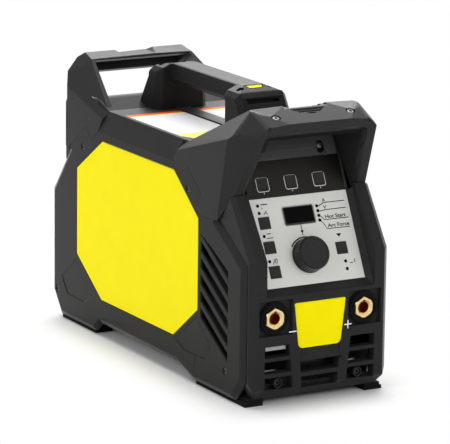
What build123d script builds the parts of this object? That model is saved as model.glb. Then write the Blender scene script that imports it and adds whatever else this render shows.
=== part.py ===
from build123d import *
import os
from math import cos, hypot, radians, sin, tan

# Portable inverter stick welder. Millimetres, +X to the right seen from the front,
# the front panel faces -Y, +Z up. The origin lies under the middle of the machine.
os.makedirs("parts", exist_ok=True)

# ---- overall sizes ----------------------------------------------------------------
width = 180.0            # over the two side covers
length = 465.0           # front bezel to the rear edge of the covers
deck_z = 267.0           # top of the flat deck
hood_rise = 51.0         # ridge of the front hood above the deck
hoop_rise = 50.5         # top of the rear hoop above the deck
grip_rise = 54.5         # top of the carrying handle above the deck
gap = 0.3                # seam between neighbouring mouldings

half = width / 2
front_y = -length / 2
rear_y = length / 2
ridge_z = deck_z + hood_rise
hoop_z = deck_z + hoop_rise
grip_z = deck_z + grip_rise

# ---- side covers ------------------------------------------------------------------
cover_wall = 3.0
cover_depth = 6.0        # face plus the flange behind it
cover_setback = 9.5      # front edge of a cover behind the bezel face
cover_bend_z = 156.0     # where the front edge turns back
cover_low_z = 4.0        # lowest edge, over the feet
arch_z = 16.0            # edge between the feet
arch_front_y = front_y + 121.0
arch_rear_y = rear_y - 109.0
badge_margin = 2.0       # depth of the badge pocket
badge_thickness = 1.5
badge_clearance = 0.4
rail_lean = 5.5          # the top of a cover leans inwards by this much
rail_low = deck_z - 26.0
cover_in = half - cover_depth
cover_y = front_y + cover_setback

# ---- louvres of a side cover ----------------------------------------------------------
louvre_count = 6
louvre_pitch = 18.5
louvre_opening = 11.0
louvre_slope = 0.62
screen_rim = 3.0
screen_depth = 8.0
screen_floor = 1.2

# ---- hood and its foot --------------------------------------------------------------
foot_y = front_y + 70.0          # lowest corner of the hood arm
foot_z = deck_z - 73.0
arm_y = front_y + 46.0           # lower front corner of the arm face
arm_z = deck_z - 41.5
lip_y = front_y + 6.5            # front edge of the hood roof
lip_z = ridge_z - 12.5
ridge_y = front_y + 44.0
hood_back_y = front_y + 144.3    # where the rear slope meets the deck
brow_height = 15.0               # face of the hood above its window
window_top = half - 32.0         # half width of the hood window at its top
window_low = half - 22.5         # half width at its foot
hood_wall = 3.5
lip_flat = half - 52.0           # half width of the level part of the roof's front edge
lip_shoulder = (half - 26.0, lip_y + 2.0, lip_z - 3.0)
lip_corner = (half - 14.0, lip_y + 11.0, lip_z - 11.5)
ridge_corner = (half - 24.0, ridge_y, ridge_z)
arm_corner = (half - 8.0, arm_y, arm_z)
hood_screw_x = half - 43.8
hood_screw_y = lip_y + 16.0
hood_screw_length = 21.5
louvre_back = foot_y + 34.0
louvre_front = foot_y - 26.0
louvre_top = foot_z - 20.5

# ---- base pan ------------------------------------------------------------------------
sheet = 1.5
pan_half = half - 13.5
pan_z = 12.0                     # underside of the base pan
pan_wall_top = 44.0
pan_front = front_y + 24.5
pan_rear = rear_y - 8.5
side_screw_places = [(foot_y + 65, foot_z + 21.5), (rear_y - 79.5, deck_z - 51)]
pan_screw_places = [(front_y + 49, 32), (rear_y - 14.5, 33.5)]
side_screw_length = 13.0
boss_radius = 5.0

# ---- bezel --------------------------------------------------------------------------
bezel_half = half - 4.0
bezel_bend_z = 160.0
bezel_low_z = 8.0
bezel_corner_z = 27.0            # the lower corners are cut off from here down
chin_z = 20.0
bezel_front_thick = 11.5
bezel_wall = 3.0
tongue = 8.0
rim_half = half - 23.3           # half width of the panel recess at its rim
ledge = 9.6                      # ledge below the fascia
rim_depth = 5.4

# ---- grille and front badge -----------------------------------------------------------
grille_low = 17.0
grille_top = 68.0
grille_out = half - 21.4
rib_inner = (half - 63.5, half - 68.0)   # half width of the middle slots at the top and bottom
rib_outer = (half - 51.5, half - 57.0)   # inner edge of the outer slots at the top and bottom
outer_slots = ((54.5, 67.5), (37.0, 50.5), (18.5, 32.5))
middle_slots = ((34.2, 47.0), (16.5, 29.5))
grille_screw_x = half - 40.0
grille_screw_z = 25.2
grille_screw_length = 20.0
badge_top = (half - 58.0, 111.4)
badge_knee = (half - 63.4, 64.5)
badge_low = (half - 66.6, 61.0)

# ---- sloping control panel ------------------------------------------------------------
panel_y = front_y + 9.2          # lower edge of the fascia
panel_z = 128.3
panel_tilt = 26.3                # from vertical
fascia_width = width - 58.4
fascia_height = 98.7
film_height = 41.0
overlay = 1.2                    # thickness of the fascia and film
plate_thick = 2.5                # front plate of the panel housing
panel_gap = 0.3
button_size = 13.0
button_proud = 1.2
button_travel = 0.8
button_clearance = 0.4
flange_thick = 1.2
board_thick = 1.6
knob_radius = 18.4
knob_height = 16.8
knob_chamfer = 1.6
knob_stand_off = 0.6
shaft_radius = 3.0
shaft_fit = 0.05
knob_x = -3.5
knob_s = 31.0
display_x = -3.6
display_s = 76.0
display_size = (37.0, 19.5)
led_radius = 1.4
housing_top = 176.0
flange_half = fascia_width / 2 + 5.2
strip_half = window_top - 0.1
board_n = -9.6                   # depth of the control board behind the fascia
fascia_half = fascia_width / 2
panel_screw = (fascia_half - 21.0, 150.5)
top_button_pitch = 35.3
top_buttons = [(index * top_button_pitch - 4.7, 114.7) for index in (-1, 0, 1)]
left_buttons = [(13.3 - fascia_half, s) for s in (71.8, 44.6, 17.4)]
right_button = [(fascia_half - 20.8, 35.3)]
button_places = top_buttons + left_buttons + right_button
button_names = ["button_top_left", "button_top_middle", "button_top_right", "button_process",
                "button_mode", "button_arc", "button_select"]
led_places = ([(9.3 - fascia_half, s) for s in (91.2, 83.1, 57.5, 29.6)]
              + [(20.6, s) for s in (84.2, 78.8, 73.5, 68.2)]
              + [(fascia_half - 19.6, s) for s in (20.2, 11.8)])

# ---- output sockets -------------------------------------------------------------------
socket_x = half - 34.4
socket_z = 96.8
socket_bore = 6.5                # radius of the plug bore
socket_hex = 21.0                # across flats
insulator_radius = 18.5
recess_depth = 6.0
thread_radius = 11.0
barrel_radius = 9.0
socket_proud = 4.8               # the hexagon stands this far out of the pocket
hex_depth = 4.0
stud_radius = 5.0
socket_floor = front_y + recess_depth
socket_start = socket_floor - socket_proud
socket_back = front_y + bezel_front_thick
stud_y = socket_start + 31.2
busbar_z = 141.0

# ---- deck, labels and handle ------------------------------------------------------------
deck_thick = 3.0
deck_half = cover_in - gap
label_thick = 0.4
label_in = 10.6
label_out = half - 10.0
label_rear = rear_y - 167.5
label_front = front_y + 150.0
grip_half = 15.0
grip_height = 24.0
split_z = grip_z - 17.0          # joint between the two halves of the handle
rear_block_y = rear_y - 154.5    # front face of the rear block
rear_block_end = rear_block_y + 24.0
rear_block_half = 35.0           # at the deck
front_block = (front_y + 163.5, front_y + 126.0)     # rear and front face at the joint
block_half = 32.0                # half width of both blocks at the joint
block_lean = 0.6                 # the front face leans forward by this much per millimetre down
block_corner = 6.0
roof_steps = ((11.8, 0.0), (26.0, 6.0), (block_half, 11.5))    # half widths and drops of the top
slot_half = 20.6
slot_height = 4.9
handle_screw_x = 19.2
handle_screw_y = (front_y + 146.5, rear_y - 140.5)
handle_screw_z = grip_z - 8.0
handle_screw_length = 16.0

# ---- rear ---------------------------------------------------------------------------
hoop_y = rear_y - 25.5           # rear face of the hoop
crest_y = rear_y - 107.5         # crest behind the deck
crest_z = deck_z + 9.0
deck_end_y = rear_y - 132.5      # where the deck starts to rise
opening_low = half - 16.0        # half width of the hand opening at its foot
opening_top = half - 28.0
hoop_front_drop = 5.0            # front edge of the hoop under its top
bar_rear_drop = 26.0
bar_front_y = rear_y - 54.5      # front edge of the top bar
bar_wall = 4.5
channel_half = half - 30.0
fan_size = 120.0
fan_depth = 38.0
fan_z = 112.0
fan_bore = 56.0
blade_gap = 1.5
fan_axle = 4.0
fan_screw = 52.5
blade_count = 7
hub_radius = 20.0
rear_screw_x = half - 28.0
rear_screw_top = crest_z - 21.0
rear_screw_low = 24.0
inlet_z = 205.0                  # height of the mains switch and the cable gland
inlet_x = 38.0
switch_half = (11.0, 14.0)
rocker_y = hoop_y + sheet - 1.0
rocker_angle = 16.0
rocker_pin = 1.5
gland_thread = 10.0
gland_hex = 24.0

# ---- electronics ------------------------------------------------------------------------
board_z = 122.0
sink_front = front_y + 100.0
sink_rear = rear_y - 170.0
fin_count = 8
capacitor_radius = 15.0
capacitor_y = sink_rear - capacitor_radius - 2
transformer_half = (32.0, 28.0)
transformer_y = capacitor_y - capacitor_radius - transformer_half[1] - 6
choke_radius = (16.0, 7.5)
choke_y = sink_front + sum(choke_radius) + 3
board_half = pan_half - 6.5

# ---- screws ---------------------------------------------------------------------------
head_radius = 4.0
head_height = 1.6
shank_radius = 1.75
socket_key = 1.6
screw_clearance = 0.25


# ---- helpers ----------------------------------------------------------------------------
def prism_x(points, x0, x1):
    """A prism along X over an outline of (y, z) points."""
    outline = Polyline(*[(x0, y, z) for y, z in points], close=True)
    return extrude(make_face(outline), amount=x1 - x0, dir=(1, 0, 0))


def prism_y(points, y0, y1):
    """A prism along Y over an outline of (x, z) points."""
    outline = Polyline(*[(x, y0, z) for x, z in points], close=True)
    return extrude(make_face(outline), amount=y1 - y0, dir=(0, 1, 0))


def block(x0, x1, y0, y1, z0, z1):
    """A box between two corners."""
    size = Box(x1 - x0, y1 - y0, z1 - z0)
    return Pos((x0 + x1) / 2, (y0 + y1) / 2, (z0 + z1) / 2) * size


def rod(start, direction, radius, height):
    """A cylinder from a start point along a direction."""
    place = Plane(origin=start, z_dir=direction)
    lift = Pos(0, 0, height / 2)
    return place * lift * Cylinder(radius, height)


def other_side(part):
    return mirror(part, about=Plane.YZ)


def both(part):
    return [part, other_side(part)]


def inset(points, amount):
    """Offsets a (y, z) outline inwards, keeping sharp corners."""
    outline = make_face(Polyline(*[(y, z) for y, z in points], close=True))
    shrunk = offset(outline, amount=-amount, kind=Kind.INTERSECTION)
    corners = shrunk.faces()[0].outer_wire().order_edges()
    return [(edge.position_at(0).X, edge.position_at(0).Y) for edge in corners]


def keep_inside(part, points, inwards=0.0):
    """Trims a part with the plane through three points, keeping the centre side."""
    a, b, c = [Vector(*p) for p in points]
    outward = (b - a).cross(c - a).normalized()
    if outward.dot(Vector(0, a.Y, a.Z) - a) > 0:
        outward = outward * -1
    reach = 2 * length
    return part - Plane(origin=a, z_dir=outward) * Pos(0, 0, reach / 2 - inwards) * Box(reach, reach, reach)


def save(name, *parts):
    solids = [solid for part in parts for solid in part.solids()]
    shape = solids[0] if len(solids) == 1 else Compound(children=solids)
    shape.label = name
    export_step(shape, f"parts/{name}.step")


# The panel frame: X to the right, Y up the slope, Z out of the panel.
panel = Plane(
    origin=(0, panel_y, panel_z),
    x_dir=(1, 0, 0),
    z_dir=(0, -cos(radians(panel_tilt)), sin(radians(panel_tilt))),
)


def on_panel(x, s, n0, n1, part_x, part_s):
    """A block on the panel: centre (x, s), from depth n0 to n1."""
    return panel * Pos(x, s, (n0 + n1) / 2) * Box(part_x, part_s, n1 - n0)


def pin_on_panel(x, s, n0, n1, radius):
    return panel * Pos(x, s, (n0 + n1) / 2) * Cylinder(radius, n1 - n0)


def panel_line(s, n):
    """The (y, z) of a point on the panel frame."""
    point = panel.from_local_coords((0, s, n))
    return (point.Y, point.Z)


def screw(start, direction, length):
    """A socket-head screw whose head top is at start, pointing along direction."""
    place = Plane(origin=start, z_dir=direction)
    head = place * Pos(0, 0, head_height / 2) * Cylinder(head_radius, head_height)
    shank_length = length - head_height
    shank = place * Pos(0, 0, head_height + shank_length / 2) * Cylinder(shank_radius, shank_length)
    key = place * Pos(0, 0, head_height * 0.35) * Cylinder(socket_key, head_height * 0.7)
    return head + shank - key


def screw_hole(start, direction, length):
    """The counterbored hole that a screw of that length sits in."""
    place = Plane(origin=start, z_dir=direction)
    head_r = head_radius + screw_clearance
    above = 6.0
    head = place * Pos(0, 0, (head_height - above) / 2) * Cylinder(head_r, head_height + above)
    shank = place * Pos(0, 0, length / 2) * Cylinder(shank_radius, length + gap)
    return head + shank


# ---- outlines of the side, as (y, z) ---------------------------------------------------------
front_tab = [(foot_y + 30, foot_z - 2), (foot_y + 47, foot_z + 4.5), (foot_y + 35, foot_z + 23.5),
             (foot_y + 66.5, foot_z + 46.5), (foot_y + 89.5, foot_z + 38), (foot_y + 98, foot_z + 47)]
rear_tab = [(rear_y - 117.5, deck_z - 26), (rear_y - 103, deck_z - 38), (rear_y - 87, deck_z - 25.5),
            (rear_y - 51, deck_z - 51.5)]
front_rail_y = foot_y + 82.5
rear_rail_y = rear_y - 134.0
cover_front = [(front_y + 29.5, cover_low_z), (cover_y, 29), (cover_y, cover_bend_z), (foot_y, foot_z)]
cover_rear = [(rear_y - 43.5, deck_z - 59), (rear_y, 153), (rear_y, 30), (rear_y - 20, cover_low_z)]
cover_bottom = [(arch_rear_y, cover_low_z), (arch_rear_y - 14, arch_z),
                (arch_front_y + 40, arch_z), (arch_front_y, cover_low_z)]
rail = [(front_rail_y, deck_z), (rear_rail_y, deck_z)]
cover_outline = cover_front + front_tab + rail + rear_tab + cover_rear + cover_bottom
flange_outline = (cover_front + [(foot_y + 38, foot_z - 3), (foot_y + 91, foot_z + 36), (foot_y + 98.6, foot_z + 47)]
                  + [(front_rail_y + 0.6, deck_z), (rear_rail_y - 0.6, deck_z)]
                  + [(rear_y - 118, deck_z - 27), (rear_y - 106, deck_z - 37), (rear_y - 62, deck_z - 75)]
                  + cover_rear[1:] + cover_bottom)

rail_outline = [(foot_y + 98.6, rail_low), (front_rail_y + 0.6, deck_z),
                (rear_rail_y - 0.6, deck_z), (rear_y - 118, rail_low)]
badge_outline = [(rear_y - 64.5, 189), (rear_y - 127.5, 231), (foot_y + 97.3, 231), (foot_y + 41.5, 187.6),
                 (foot_y + 41.5, 85.8), (foot_y + 96.4, 44.8), (rear_y - 126.6, 44.8), (rear_y - 64.5, 86.5)]


# ---- side covers ---------------------------------------------------------------------------
def louvre_frame():
    """Outline of the louvred area."""
    run = louvre_back - louvre_front
    low = louvre_top - (louvre_count - 1) * louvre_pitch
    return [(louvre_back, louvre_top), (louvre_front, louvre_top - run * 0.5),
            (louvre_front, low - run * louvre_slope), (louvre_back, low - 2)]


def louvre_window():
    """The slots through a cover, sloping down to the front."""
    drop = (louvre_back - louvre_front) * louvre_slope
    slots = []
    for index in range(louvre_count + 1):
        top = louvre_top + louvre_pitch * 0.5 - index * louvre_pitch
        slots.append(prism_x([(louvre_back, top), (louvre_front, top - drop),
                              (louvre_front, top - drop - louvre_opening), (louvre_back, top - louvre_opening)],
                             cover_in, half))
    window = prism_x(louvre_frame(), cover_in - 1, half + 1)
    return [slot & window for slot in slots]


def louvre_screen():
    """A shallow tray behind the louvres that keeps dust and fingers out."""
    outer = half - cover_wall
    tray = prism_x(inset(louvre_frame(), -screen_rim), outer - screen_depth, outer)
    return tray - prism_x(inset(louvre_frame(), -screen_rim / 2), outer - screen_depth + screen_floor, outer + 1)


def side_cover():
    """The right cover: a face with a flange behind it and screw bosses."""
    face = prism_x(cover_outline, half - cover_wall, half)
    rim = prism_x(flange_outline, cover_in, half - cover_wall)
    rim -= prism_x(inset(flange_outline, cover_wall), cover_in - 1, half)
    cover = face + rim
    for y, z in pan_screw_places:
        cover += rod((pan_half + gap, y, z), (1, 0, 0), boss_radius, half - cover_wall - pan_half - gap)
    cover += prism_x(rail_outline, cover_in, half - cover_wall)
    lean = [(half, rail_low), (half - rail_lean, deck_z), (half - rail_lean, deck_z + 1),
            (half + 1, deck_z + 1), (half + 1, rail_low)]
    cover -= prism_y(lean, front_y, rear_y)
    cover -= prism_x(inset(badge_outline, -badge_clearance), half - badge_margin, half + 1)
    for slot in louvre_window():
        cover -= slot
    for y, z in side_screw_places + pan_screw_places:
        cover -= screw_hole((half - 0.4, y, z), (-1, 0, 0), side_screw_length)
    return cover


def side_badge():
    """A plain coloured plate that fills the pocket of a cover."""
    return prism_x(badge_outline, half - badge_margin, half - badge_margin + badge_thickness)


# ---- front hood -----------------------------------------------------------------------------
def face_line(z):
    """Y of the overhanging hood face at a height."""
    return arm_y + (z - arm_z) * (lip_y - arm_y) / (lip_z - arm_z)


def hood_facets(part, inwards=0.0):
    """Cuts the slanting faces at the roof corners and along the arms."""
    for sign in (-1, 1):
        ridge, shoulder, corner, arm = [(sign * x, y, z) for x, y, z in
                                        (ridge_corner, lip_shoulder, lip_corner, arm_corner)]
        planes = [(ridge, (sign * cover_in, front_rail_y, deck_z - 3), (sign * half, ridge_y, ridge_z - 30)),
                  ((sign * lip_flat, lip_y, lip_z), ridge, shoulder), (ridge, shoulder, corner),
                  (corner, (sign * half, foot_y, foot_z), arm)]
        for points in planes:
            part = keep_inside(part, points, inwards)
    return part


def front_hood():
    """The roof and two arms over the panel, one moulding."""
    side = ([(foot_y, foot_z), (arm_y, arm_z), (lip_y, lip_z), (ridge_y, ridge_z), (hood_back_y, deck_z)]
            + [(front_rail_y, deck_z)] + front_tab[::-1])
    hood = prism_x(side, -half, half)
    window_z = lip_z - brow_height
    # the hidden room behind the panel, under the roof
    slope = (ridge_z - deck_z) / (hood_back_y - ridge_y)
    behind = gap - overlay
    drop = slope * 34 + hood_wall + 1
    room = [(hood_back_y + 40, deck_z - 90), (foot_y - 60, foot_z - 40), panel_line(60, behind),
            panel_line(178, behind), (ridge_y + 34, ridge_z - drop), (hood_back_y, deck_z - hood_wall - 1),
            (hood_back_y, deck_z + 1), (hood_back_y + 40, deck_z + 1)]
    hood -= hood_facets(prism_x(room, -cover_in, cover_in), hood_wall)
    # the window in front of the panel, narrower at the top
    spread = (window_low - window_top) / (window_z - arm_z)
    low_z = foot_z - 40
    window = prism_y([(-window_top, window_z), (window_top, window_z),
                      (window_low + spread * (arm_z - low_z), low_z),
                      (-window_low - spread * (arm_z - low_z), low_z)], front_y - 10, hood_back_y)
    ahead = prism_x([(front_y - 10, low_z), (front_y - 10, window_z), (panel_line(178, 0)[0], window_z),
                     panel_line(178, behind - 1), panel_line(60, behind - 1), (foot_y - 60, low_z)], -half, half)
    hood -= window & ahead
    # lugs behind the cover tabs
    lug = prism_x([(foot_y + 49, foot_z + 9.5), (foot_y + 80, foot_z + 33), (foot_y + 65.5, foot_z + 52.5),
                   (foot_y + 31.5, foot_z + 27.5)], cover_in - 8, half - cover_wall - gap)
    for piece in both(lug):
        hood += piece
    hood = hood_facets(hood)
    # seat of the deck behind the rear slope
    hood -= block(-cover_in, cover_in, hood_back_y, hood_back_y + 40, deck_z - deck_thick - gap, deck_z + 1)
    # stepped finger recess in the middle of the ridge
    for depth, reach, wide in ((2.0, 8.0, 26.0), (4.0, 3.0, 21.0), (6.0, -2.0, 16.0)):
        hood -= block(-wide, wide, ridge_y - reach, ridge_y + 30, ridge_z - depth, ridge_z + 1)
    y, z = side_screw_places[0]
    for sign in (-1, 1):
        hood -= screw_hole((sign * (half - 0.4), y, z), (-sign, 0, 0), side_screw_length)
        hood -= screw_hole(hood_screw_start(sign), (0, 0, -1), hood_screw_length)
    return hood


def hood_screw_start(sign):
    rise = (ridge_z - lip_z) / (ridge_y - lip_y)
    return (sign * hood_screw_x, hood_screw_y, lip_z + rise * (hood_screw_y - lip_y) - 0.6)


def hood_liner():
    """Dark underside plate of the visor, held by the roof screws."""
    z1 = lip_z - brow_height
    liner = block(-(window_top - 2), window_top - 2, face_line(z1) + 4, panel_line(178, 4)[0] - 6, z1 - 3, z1)
    for sign in (-1, 1):
        liner -= screw_hole(hood_screw_start(sign), (0, 0, -1), hood_screw_length)
    return liner


# ---- front bezel ------------------------------------------------------------------------------
def slanted(pair, z):
    """X of a slanted rib edge at a height."""
    share = (z - grille_low) / (grille_top - grille_low)
    return pair[1] + (pair[0] - pair[1]) * share


def grille_cuts():
    cuts = []
    y0 = front_y - 1
    y1 = front_y + bezel_front_thick + 1
    for z0, z1 in outer_slots:
        slot = prism_y([(slanted(rib_outer, z0), z0), (grille_out, z0), (grille_out, z1),
                        (slanted(rib_outer, z1), z1)], y0, y1)
        cuts += both(slot)
    for z0, z1 in middle_slots:
        low = slanted(rib_inner, z0)
        top = slanted(rib_inner, z1)
        cuts.append(prism_y([(-low, z0), (low, z0), (top, z1), (-top, z1)], y0, y1))
    return cuts


def front_badge_outline(grow):
    points = [(badge_top[0] + grow, badge_top[1] + grow), (badge_knee[0] + grow, badge_knee[1]),
              (badge_low[0] + grow / 2, badge_low[1] - grow)]
    return points + [(-x, z) for x, z in points[::-1]]


def recess_cut():
    """The flared pocket in which the fascia lies, with its ledge."""
    wide = fascia_width / 2 + panel_gap
    high = fascia_height / 2 + 40
    base = panel * Pos(0, high - panel_gap, 0) * Rectangle(2 * wide, 2 * high)
    rim = panel * Pos(0, high - (panel_gap + ledge) / 2, rim_depth) * Rectangle(
        2 * rim_half, 2 * high + ledge - panel_gap)
    flare = loft([base.faces()[0], rim.faces()[0]])
    ahead = panel * Pos(0, high - (panel_gap + ledge) / 2, rim_depth + 20) * Box(
        2 * rim_half, 2 * high + ledge - panel_gap, 40)
    through = panel * Pos(0, high - panel_gap, -6) * Box(2 * wide, 2 * high, 12.2)
    return flare, ahead, through


def front_bezel():
    """The front frame: grille, socket pockets and the recess of the panel."""
    seam = gap + 0.2
    front = [(front_y + 10.5, bezel_low_z), (front_y, chin_z), (front_y, bezel_bend_z),
             (arm_y - gap, arm_z - gap)]
    top = (foot_y - seam, foot_z - 0.1)
    edge = [(cover_y - seam, cover_bend_z), (cover_y - seam, 29), (front_y + 26, bezel_low_z)]
    shell = prism_x(front + [top] + edge, -bezel_half, bezel_half)
    back = [(foot_y + tongue - seam, foot_z - tongue), panel_line(60, -6), panel_line(5, -6)]
    back += [(y + tongue, z) for y, z in edge[1:]]
    shell += prism_x(front + [top] + back, -(cover_in - gap), cover_in - gap)
    inner = socket_back
    behind = plate_thick + overlay
    room = [(front_y + 22, bezel_low_z + 3.5), (inner, chin_z + 2), (inner, 122), panel_line(-2, -behind),
            panel_line(140, -behind), (foot_y + 60, foot_z + 60), (foot_y + 60, bezel_low_z + 3.5)]
    half_room = cover_in - gap - bezel_wall
    shell -= prism_x(room, -half_room, half_room)
    for cut in recess_cut():
        shell -= cut
    # soft front corners
    for sign in (-1, 1):
        shell = keep_inside(shell, [(sign * (bezel_half - 6.5), front_y, 50),
                                    (sign * (bezel_half - 6.5), front_y, 120),
                                    (sign * (bezel_half + 0.5), front_y + 6.5, 50)])
        shell = keep_inside(shell, [(sign * (bezel_half - 6.5), front_y, bezel_bend_z),
                                    (sign * (half - 9), arm_y, arm_z),
                                    (sign * (bezel_half + 0.5), front_y + 6.5, bezel_bend_z)])
        shell = keep_inside(shell, [(sign * bezel_half, front_y, bezel_corner_z),
                                    (sign * bezel_half, rear_y, bezel_corner_z),
                                    (sign * (bezel_half - 10), front_y, bezel_low_z)])
    for cut in grille_cuts():
        shell -= cut
    # pockets round the sockets and the badge
    pocket = block(socket_x - 21, socket_x + 20.6, front_y - 1, socket_floor, socket_z - 18.6, socket_z + 20.4)
    for cut in both(pocket):
        shell -= cut
    for sign in (-1, 1):
        shell -= rod((sign * socket_x, front_y - 1, socket_z), (0, 1, 0), thread_radius + gap, 30)
    shell -= prism_y(front_badge_outline(badge_clearance), front_y - 1, front_y + 3)
    shell -= prism_x([(front_y + 3, badge_low[1] + 0.5), (front_y - 1, badge_low[1] + 0.5), (front_y - 1, 45),
                      (front_y, 47.6)], -25, 25)
    # bosses for the two grille screws
    for sign in (-1, 1):
        reach = pan_front - gap - (front_y + 3.5)
        shell += rod((sign * grille_screw_x, front_y + 3.5, grille_screw_z), (0, 1, 0), 5.4, reach)
        shell += block(sign * grille_screw_x - 1.5, sign * grille_screw_x + 1.5, front_y + 3.5,
                       front_y + bezel_front_thick, outer_slots[2][0] - 2, grille_screw_z)
        shell -= screw_hole((sign * grille_screw_x, front_y + 5.0, grille_screw_z), (0, 1, 0),
                            grille_screw_length)
    return shell - plaque_shape(badge_clearance, 0.7)


def plaque_shape(grow, thick):
    """The blank plate on the ledge below the fascia."""
    ledge_top = Vector(0, *panel_line(-panel_gap, 0))
    ledge_low = Vector(0, *panel_line(-panel_gap - ledge, rim_depth))
    along = (ledge_low - ledge_top).normalized()
    outward = Vector(0, along.Z, -along.Y)
    place = Plane(origin=ledge_top + along * 5.6, x_dir=(1, 0, 0), z_dir=outward)
    w = 27.0 + grow
    h = 3.4 + grow
    outline = Polyline((-w, h, 0), (w, h, 0), (w - 4, -h, 0), (-w + 4, -h, 0), close=True)
    face = make_face(outline)
    return place * Pos(0, 0, -thick) * extrude(face, amount=thick)


# ---- control panel ------------------------------------------------------------------------------
def through_holes(n0, n1):
    """Cuts for the buttons, the display, the lamps and the knob shaft."""
    size = button_size + 2 * button_clearance
    cuts = [on_panel(x, s, n0, n1, size, size) for x, s in button_places]
    cuts.append(on_panel(display_x, display_s, n0, n1, display_size[0], display_size[1]))
    cuts += [pin_on_panel(x, s, n0, n1, led_radius + 0.1) for x, s in led_places]
    cuts.append(pin_on_panel(knob_x, knob_s, n0, n1, 4.6))
    return cuts


def panel_housing():
    """The tray that carries the fascia and the board behind it."""
    low = -overlay - plate_thick
    plate = on_panel(0, fascia_height / 2, low, -overlay, fascia_width, fascia_height)
    upper_s = fascia_height
    upper = housing_top - upper_s
    plate += on_panel(0, upper_s + upper / 2, low, -overlay, fascia_width, upper)
    strip_s = fascia_height + film_height
    strip = housing_top - strip_s
    plate += on_panel(0, strip_s + strip / 2, low, 3.0, 2 * strip_half, strip)
    flange = on_panel(0, housing_top / 2, low - 3, low, 2 * flange_half, housing_top)
    flange -= on_panel(0, housing_top / 2, low - 4, low + 1, fascia_width - 4, housing_top - 10)
    rim = on_panel(0, housing_top / 2, board_n - board_thick - 1, low, fascia_width - 2, housing_top - 6)
    rim -= on_panel(0, housing_top / 2, board_n - board_thick - 2, low, fascia_width - 7, housing_top - 11)
    tray = plate + flange + rim
    for cut in through_holes(low - 1, 1):
        tray -= cut
    tray -= on_panel(panel_screw[0], panel_screw[1] - 6, 1.0, 4.0, 9.6, 14)
    tray -= pin_on_panel(panel_screw[0], panel_screw[1] + 1, 1.0, 4.0, 4.8)
    tray -= screw_hole(panel.from_local_coords((panel_screw[0], panel_screw[1], 1.9)), -panel.z_dir, 9.0)
    return tray


def panel_fascia():
    """The light fascia sheet."""
    sheet_part = on_panel(0, fascia_height / 2, -overlay, 0, fascia_width, fascia_height)
    for cut in through_holes(-overlay - 1, 1):
        sheet_part -= cut
    return sheet_part


def panel_film():
    """The dark glossy film above the fascia."""
    s = fascia_height + film_height / 2
    film = on_panel(0, s, -overlay, 0, fascia_width, film_height)
    for cut in through_holes(-overlay - 1, 1):
        film -= cut
    return film


def button(x, s):
    """A sprung key cap with a flange that holds it behind the housing plate."""
    low = -overlay - plate_thick - panel_gap
    cap = on_panel(x, s, low, button_proud, button_size, button_size)
    rim = on_panel(x, s, low - flange_thick, low, button_size + 2.6, button_size + 2.6)
    stem = pin_on_panel(x, s, low - flange_thick - 1.3, low - flange_thick, 2.0)
    return cap + rim + stem


def tact_switches():
    """One small switch on the board behind each key."""
    low = -overlay - plate_thick - panel_gap - flange_thick - 1.3 - button_travel - panel_gap
    return [on_panel(x, s, board_n, low, 6.0, 6.0) for x, s in button_places]


def control_board():
    height = fascia_height + film_height - 8
    board = on_panel(0, height / 2 + 6, board_n - board_thick, board_n, fascia_width - 8, height)
    return board - pin_on_panel(knob_x, knob_s, board_n - 3, board_n + 1, 3.6)


def display_window():
    """The dark clear window of the display."""
    w, h = display_size
    return on_panel(display_x, display_s, -overlay - plate_thick, -0.6, w - 0.4, h - 0.4)


def display_module():
    w, h = display_size
    return on_panel(display_x, display_s, board_n, -overlay - plate_thick - panel_gap, w + 2, h + 3)


def led_lenses():
    return [pin_on_panel(x, s, board_n, 0.2, led_radius) for x, s in led_places]


def encoder_body():
    """The encoder on the board, with the bush that guides the shaft."""
    case = on_panel(knob_x, knob_s, board_n, board_n + 4.5, 12.0, 12.0)
    bush = pin_on_panel(knob_x, knob_s, board_n + 4.5, -0.2, 4.3)
    return case + bush - pin_on_panel(knob_x, knob_s, board_n + 1, 0, shaft_radius + shaft_fit)


def encoder_shaft():
    return pin_on_panel(knob_x, knob_s, board_n + 1.2, knob_height - 4, shaft_radius)


def control_knob():
    """A plain round knob with a slightly tapered skirt and a chamfered face."""
    place = panel * Pos(knob_x, knob_s, knob_stand_off)
    face_radius = knob_radius - 0.4
    section = Polyline((0, 0, 0), (knob_radius, 0, 0), (face_radius, 0, knob_height - knob_chamfer),
                       (face_radius - knob_chamfer, 0, knob_height), (0, 0, knob_height), close=True)
    body = revolve(make_face(section), axis=Axis.Z)
    top = knob_height - 4 - knob_stand_off
    body -= Pos(0, 0, top / 2) * Cylinder(shaft_radius, top)
    return place * body


# ---- sockets ----------------------------------------------------------------------------------
def socket_insulator():
    """The black flanged bush between the metal socket and the bezel."""
    axis = (0, 1, 0)
    flange = rod((socket_x, socket_floor - 3.6, socket_z), axis, insulator_radius, 3.6)
    sleeve = rod((socket_x, socket_floor, socket_z), axis, thread_radius, bezel_front_thick - recess_depth)
    bush = flange + sleeve
    hex_face = Plane(origin=(socket_x, socket_start, socket_z), x_dir=(1, 0, 0), z_dir=axis)
    pocket = hex_face * RegularPolygon(socket_hex / 2 + gap, 6, major_radius=False, rotation=30)
    bush -= extrude(pocket, amount=hex_depth)
    return bush - rod((socket_x, socket_start, socket_z), axis, barrel_radius + 0.2, 40)


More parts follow.
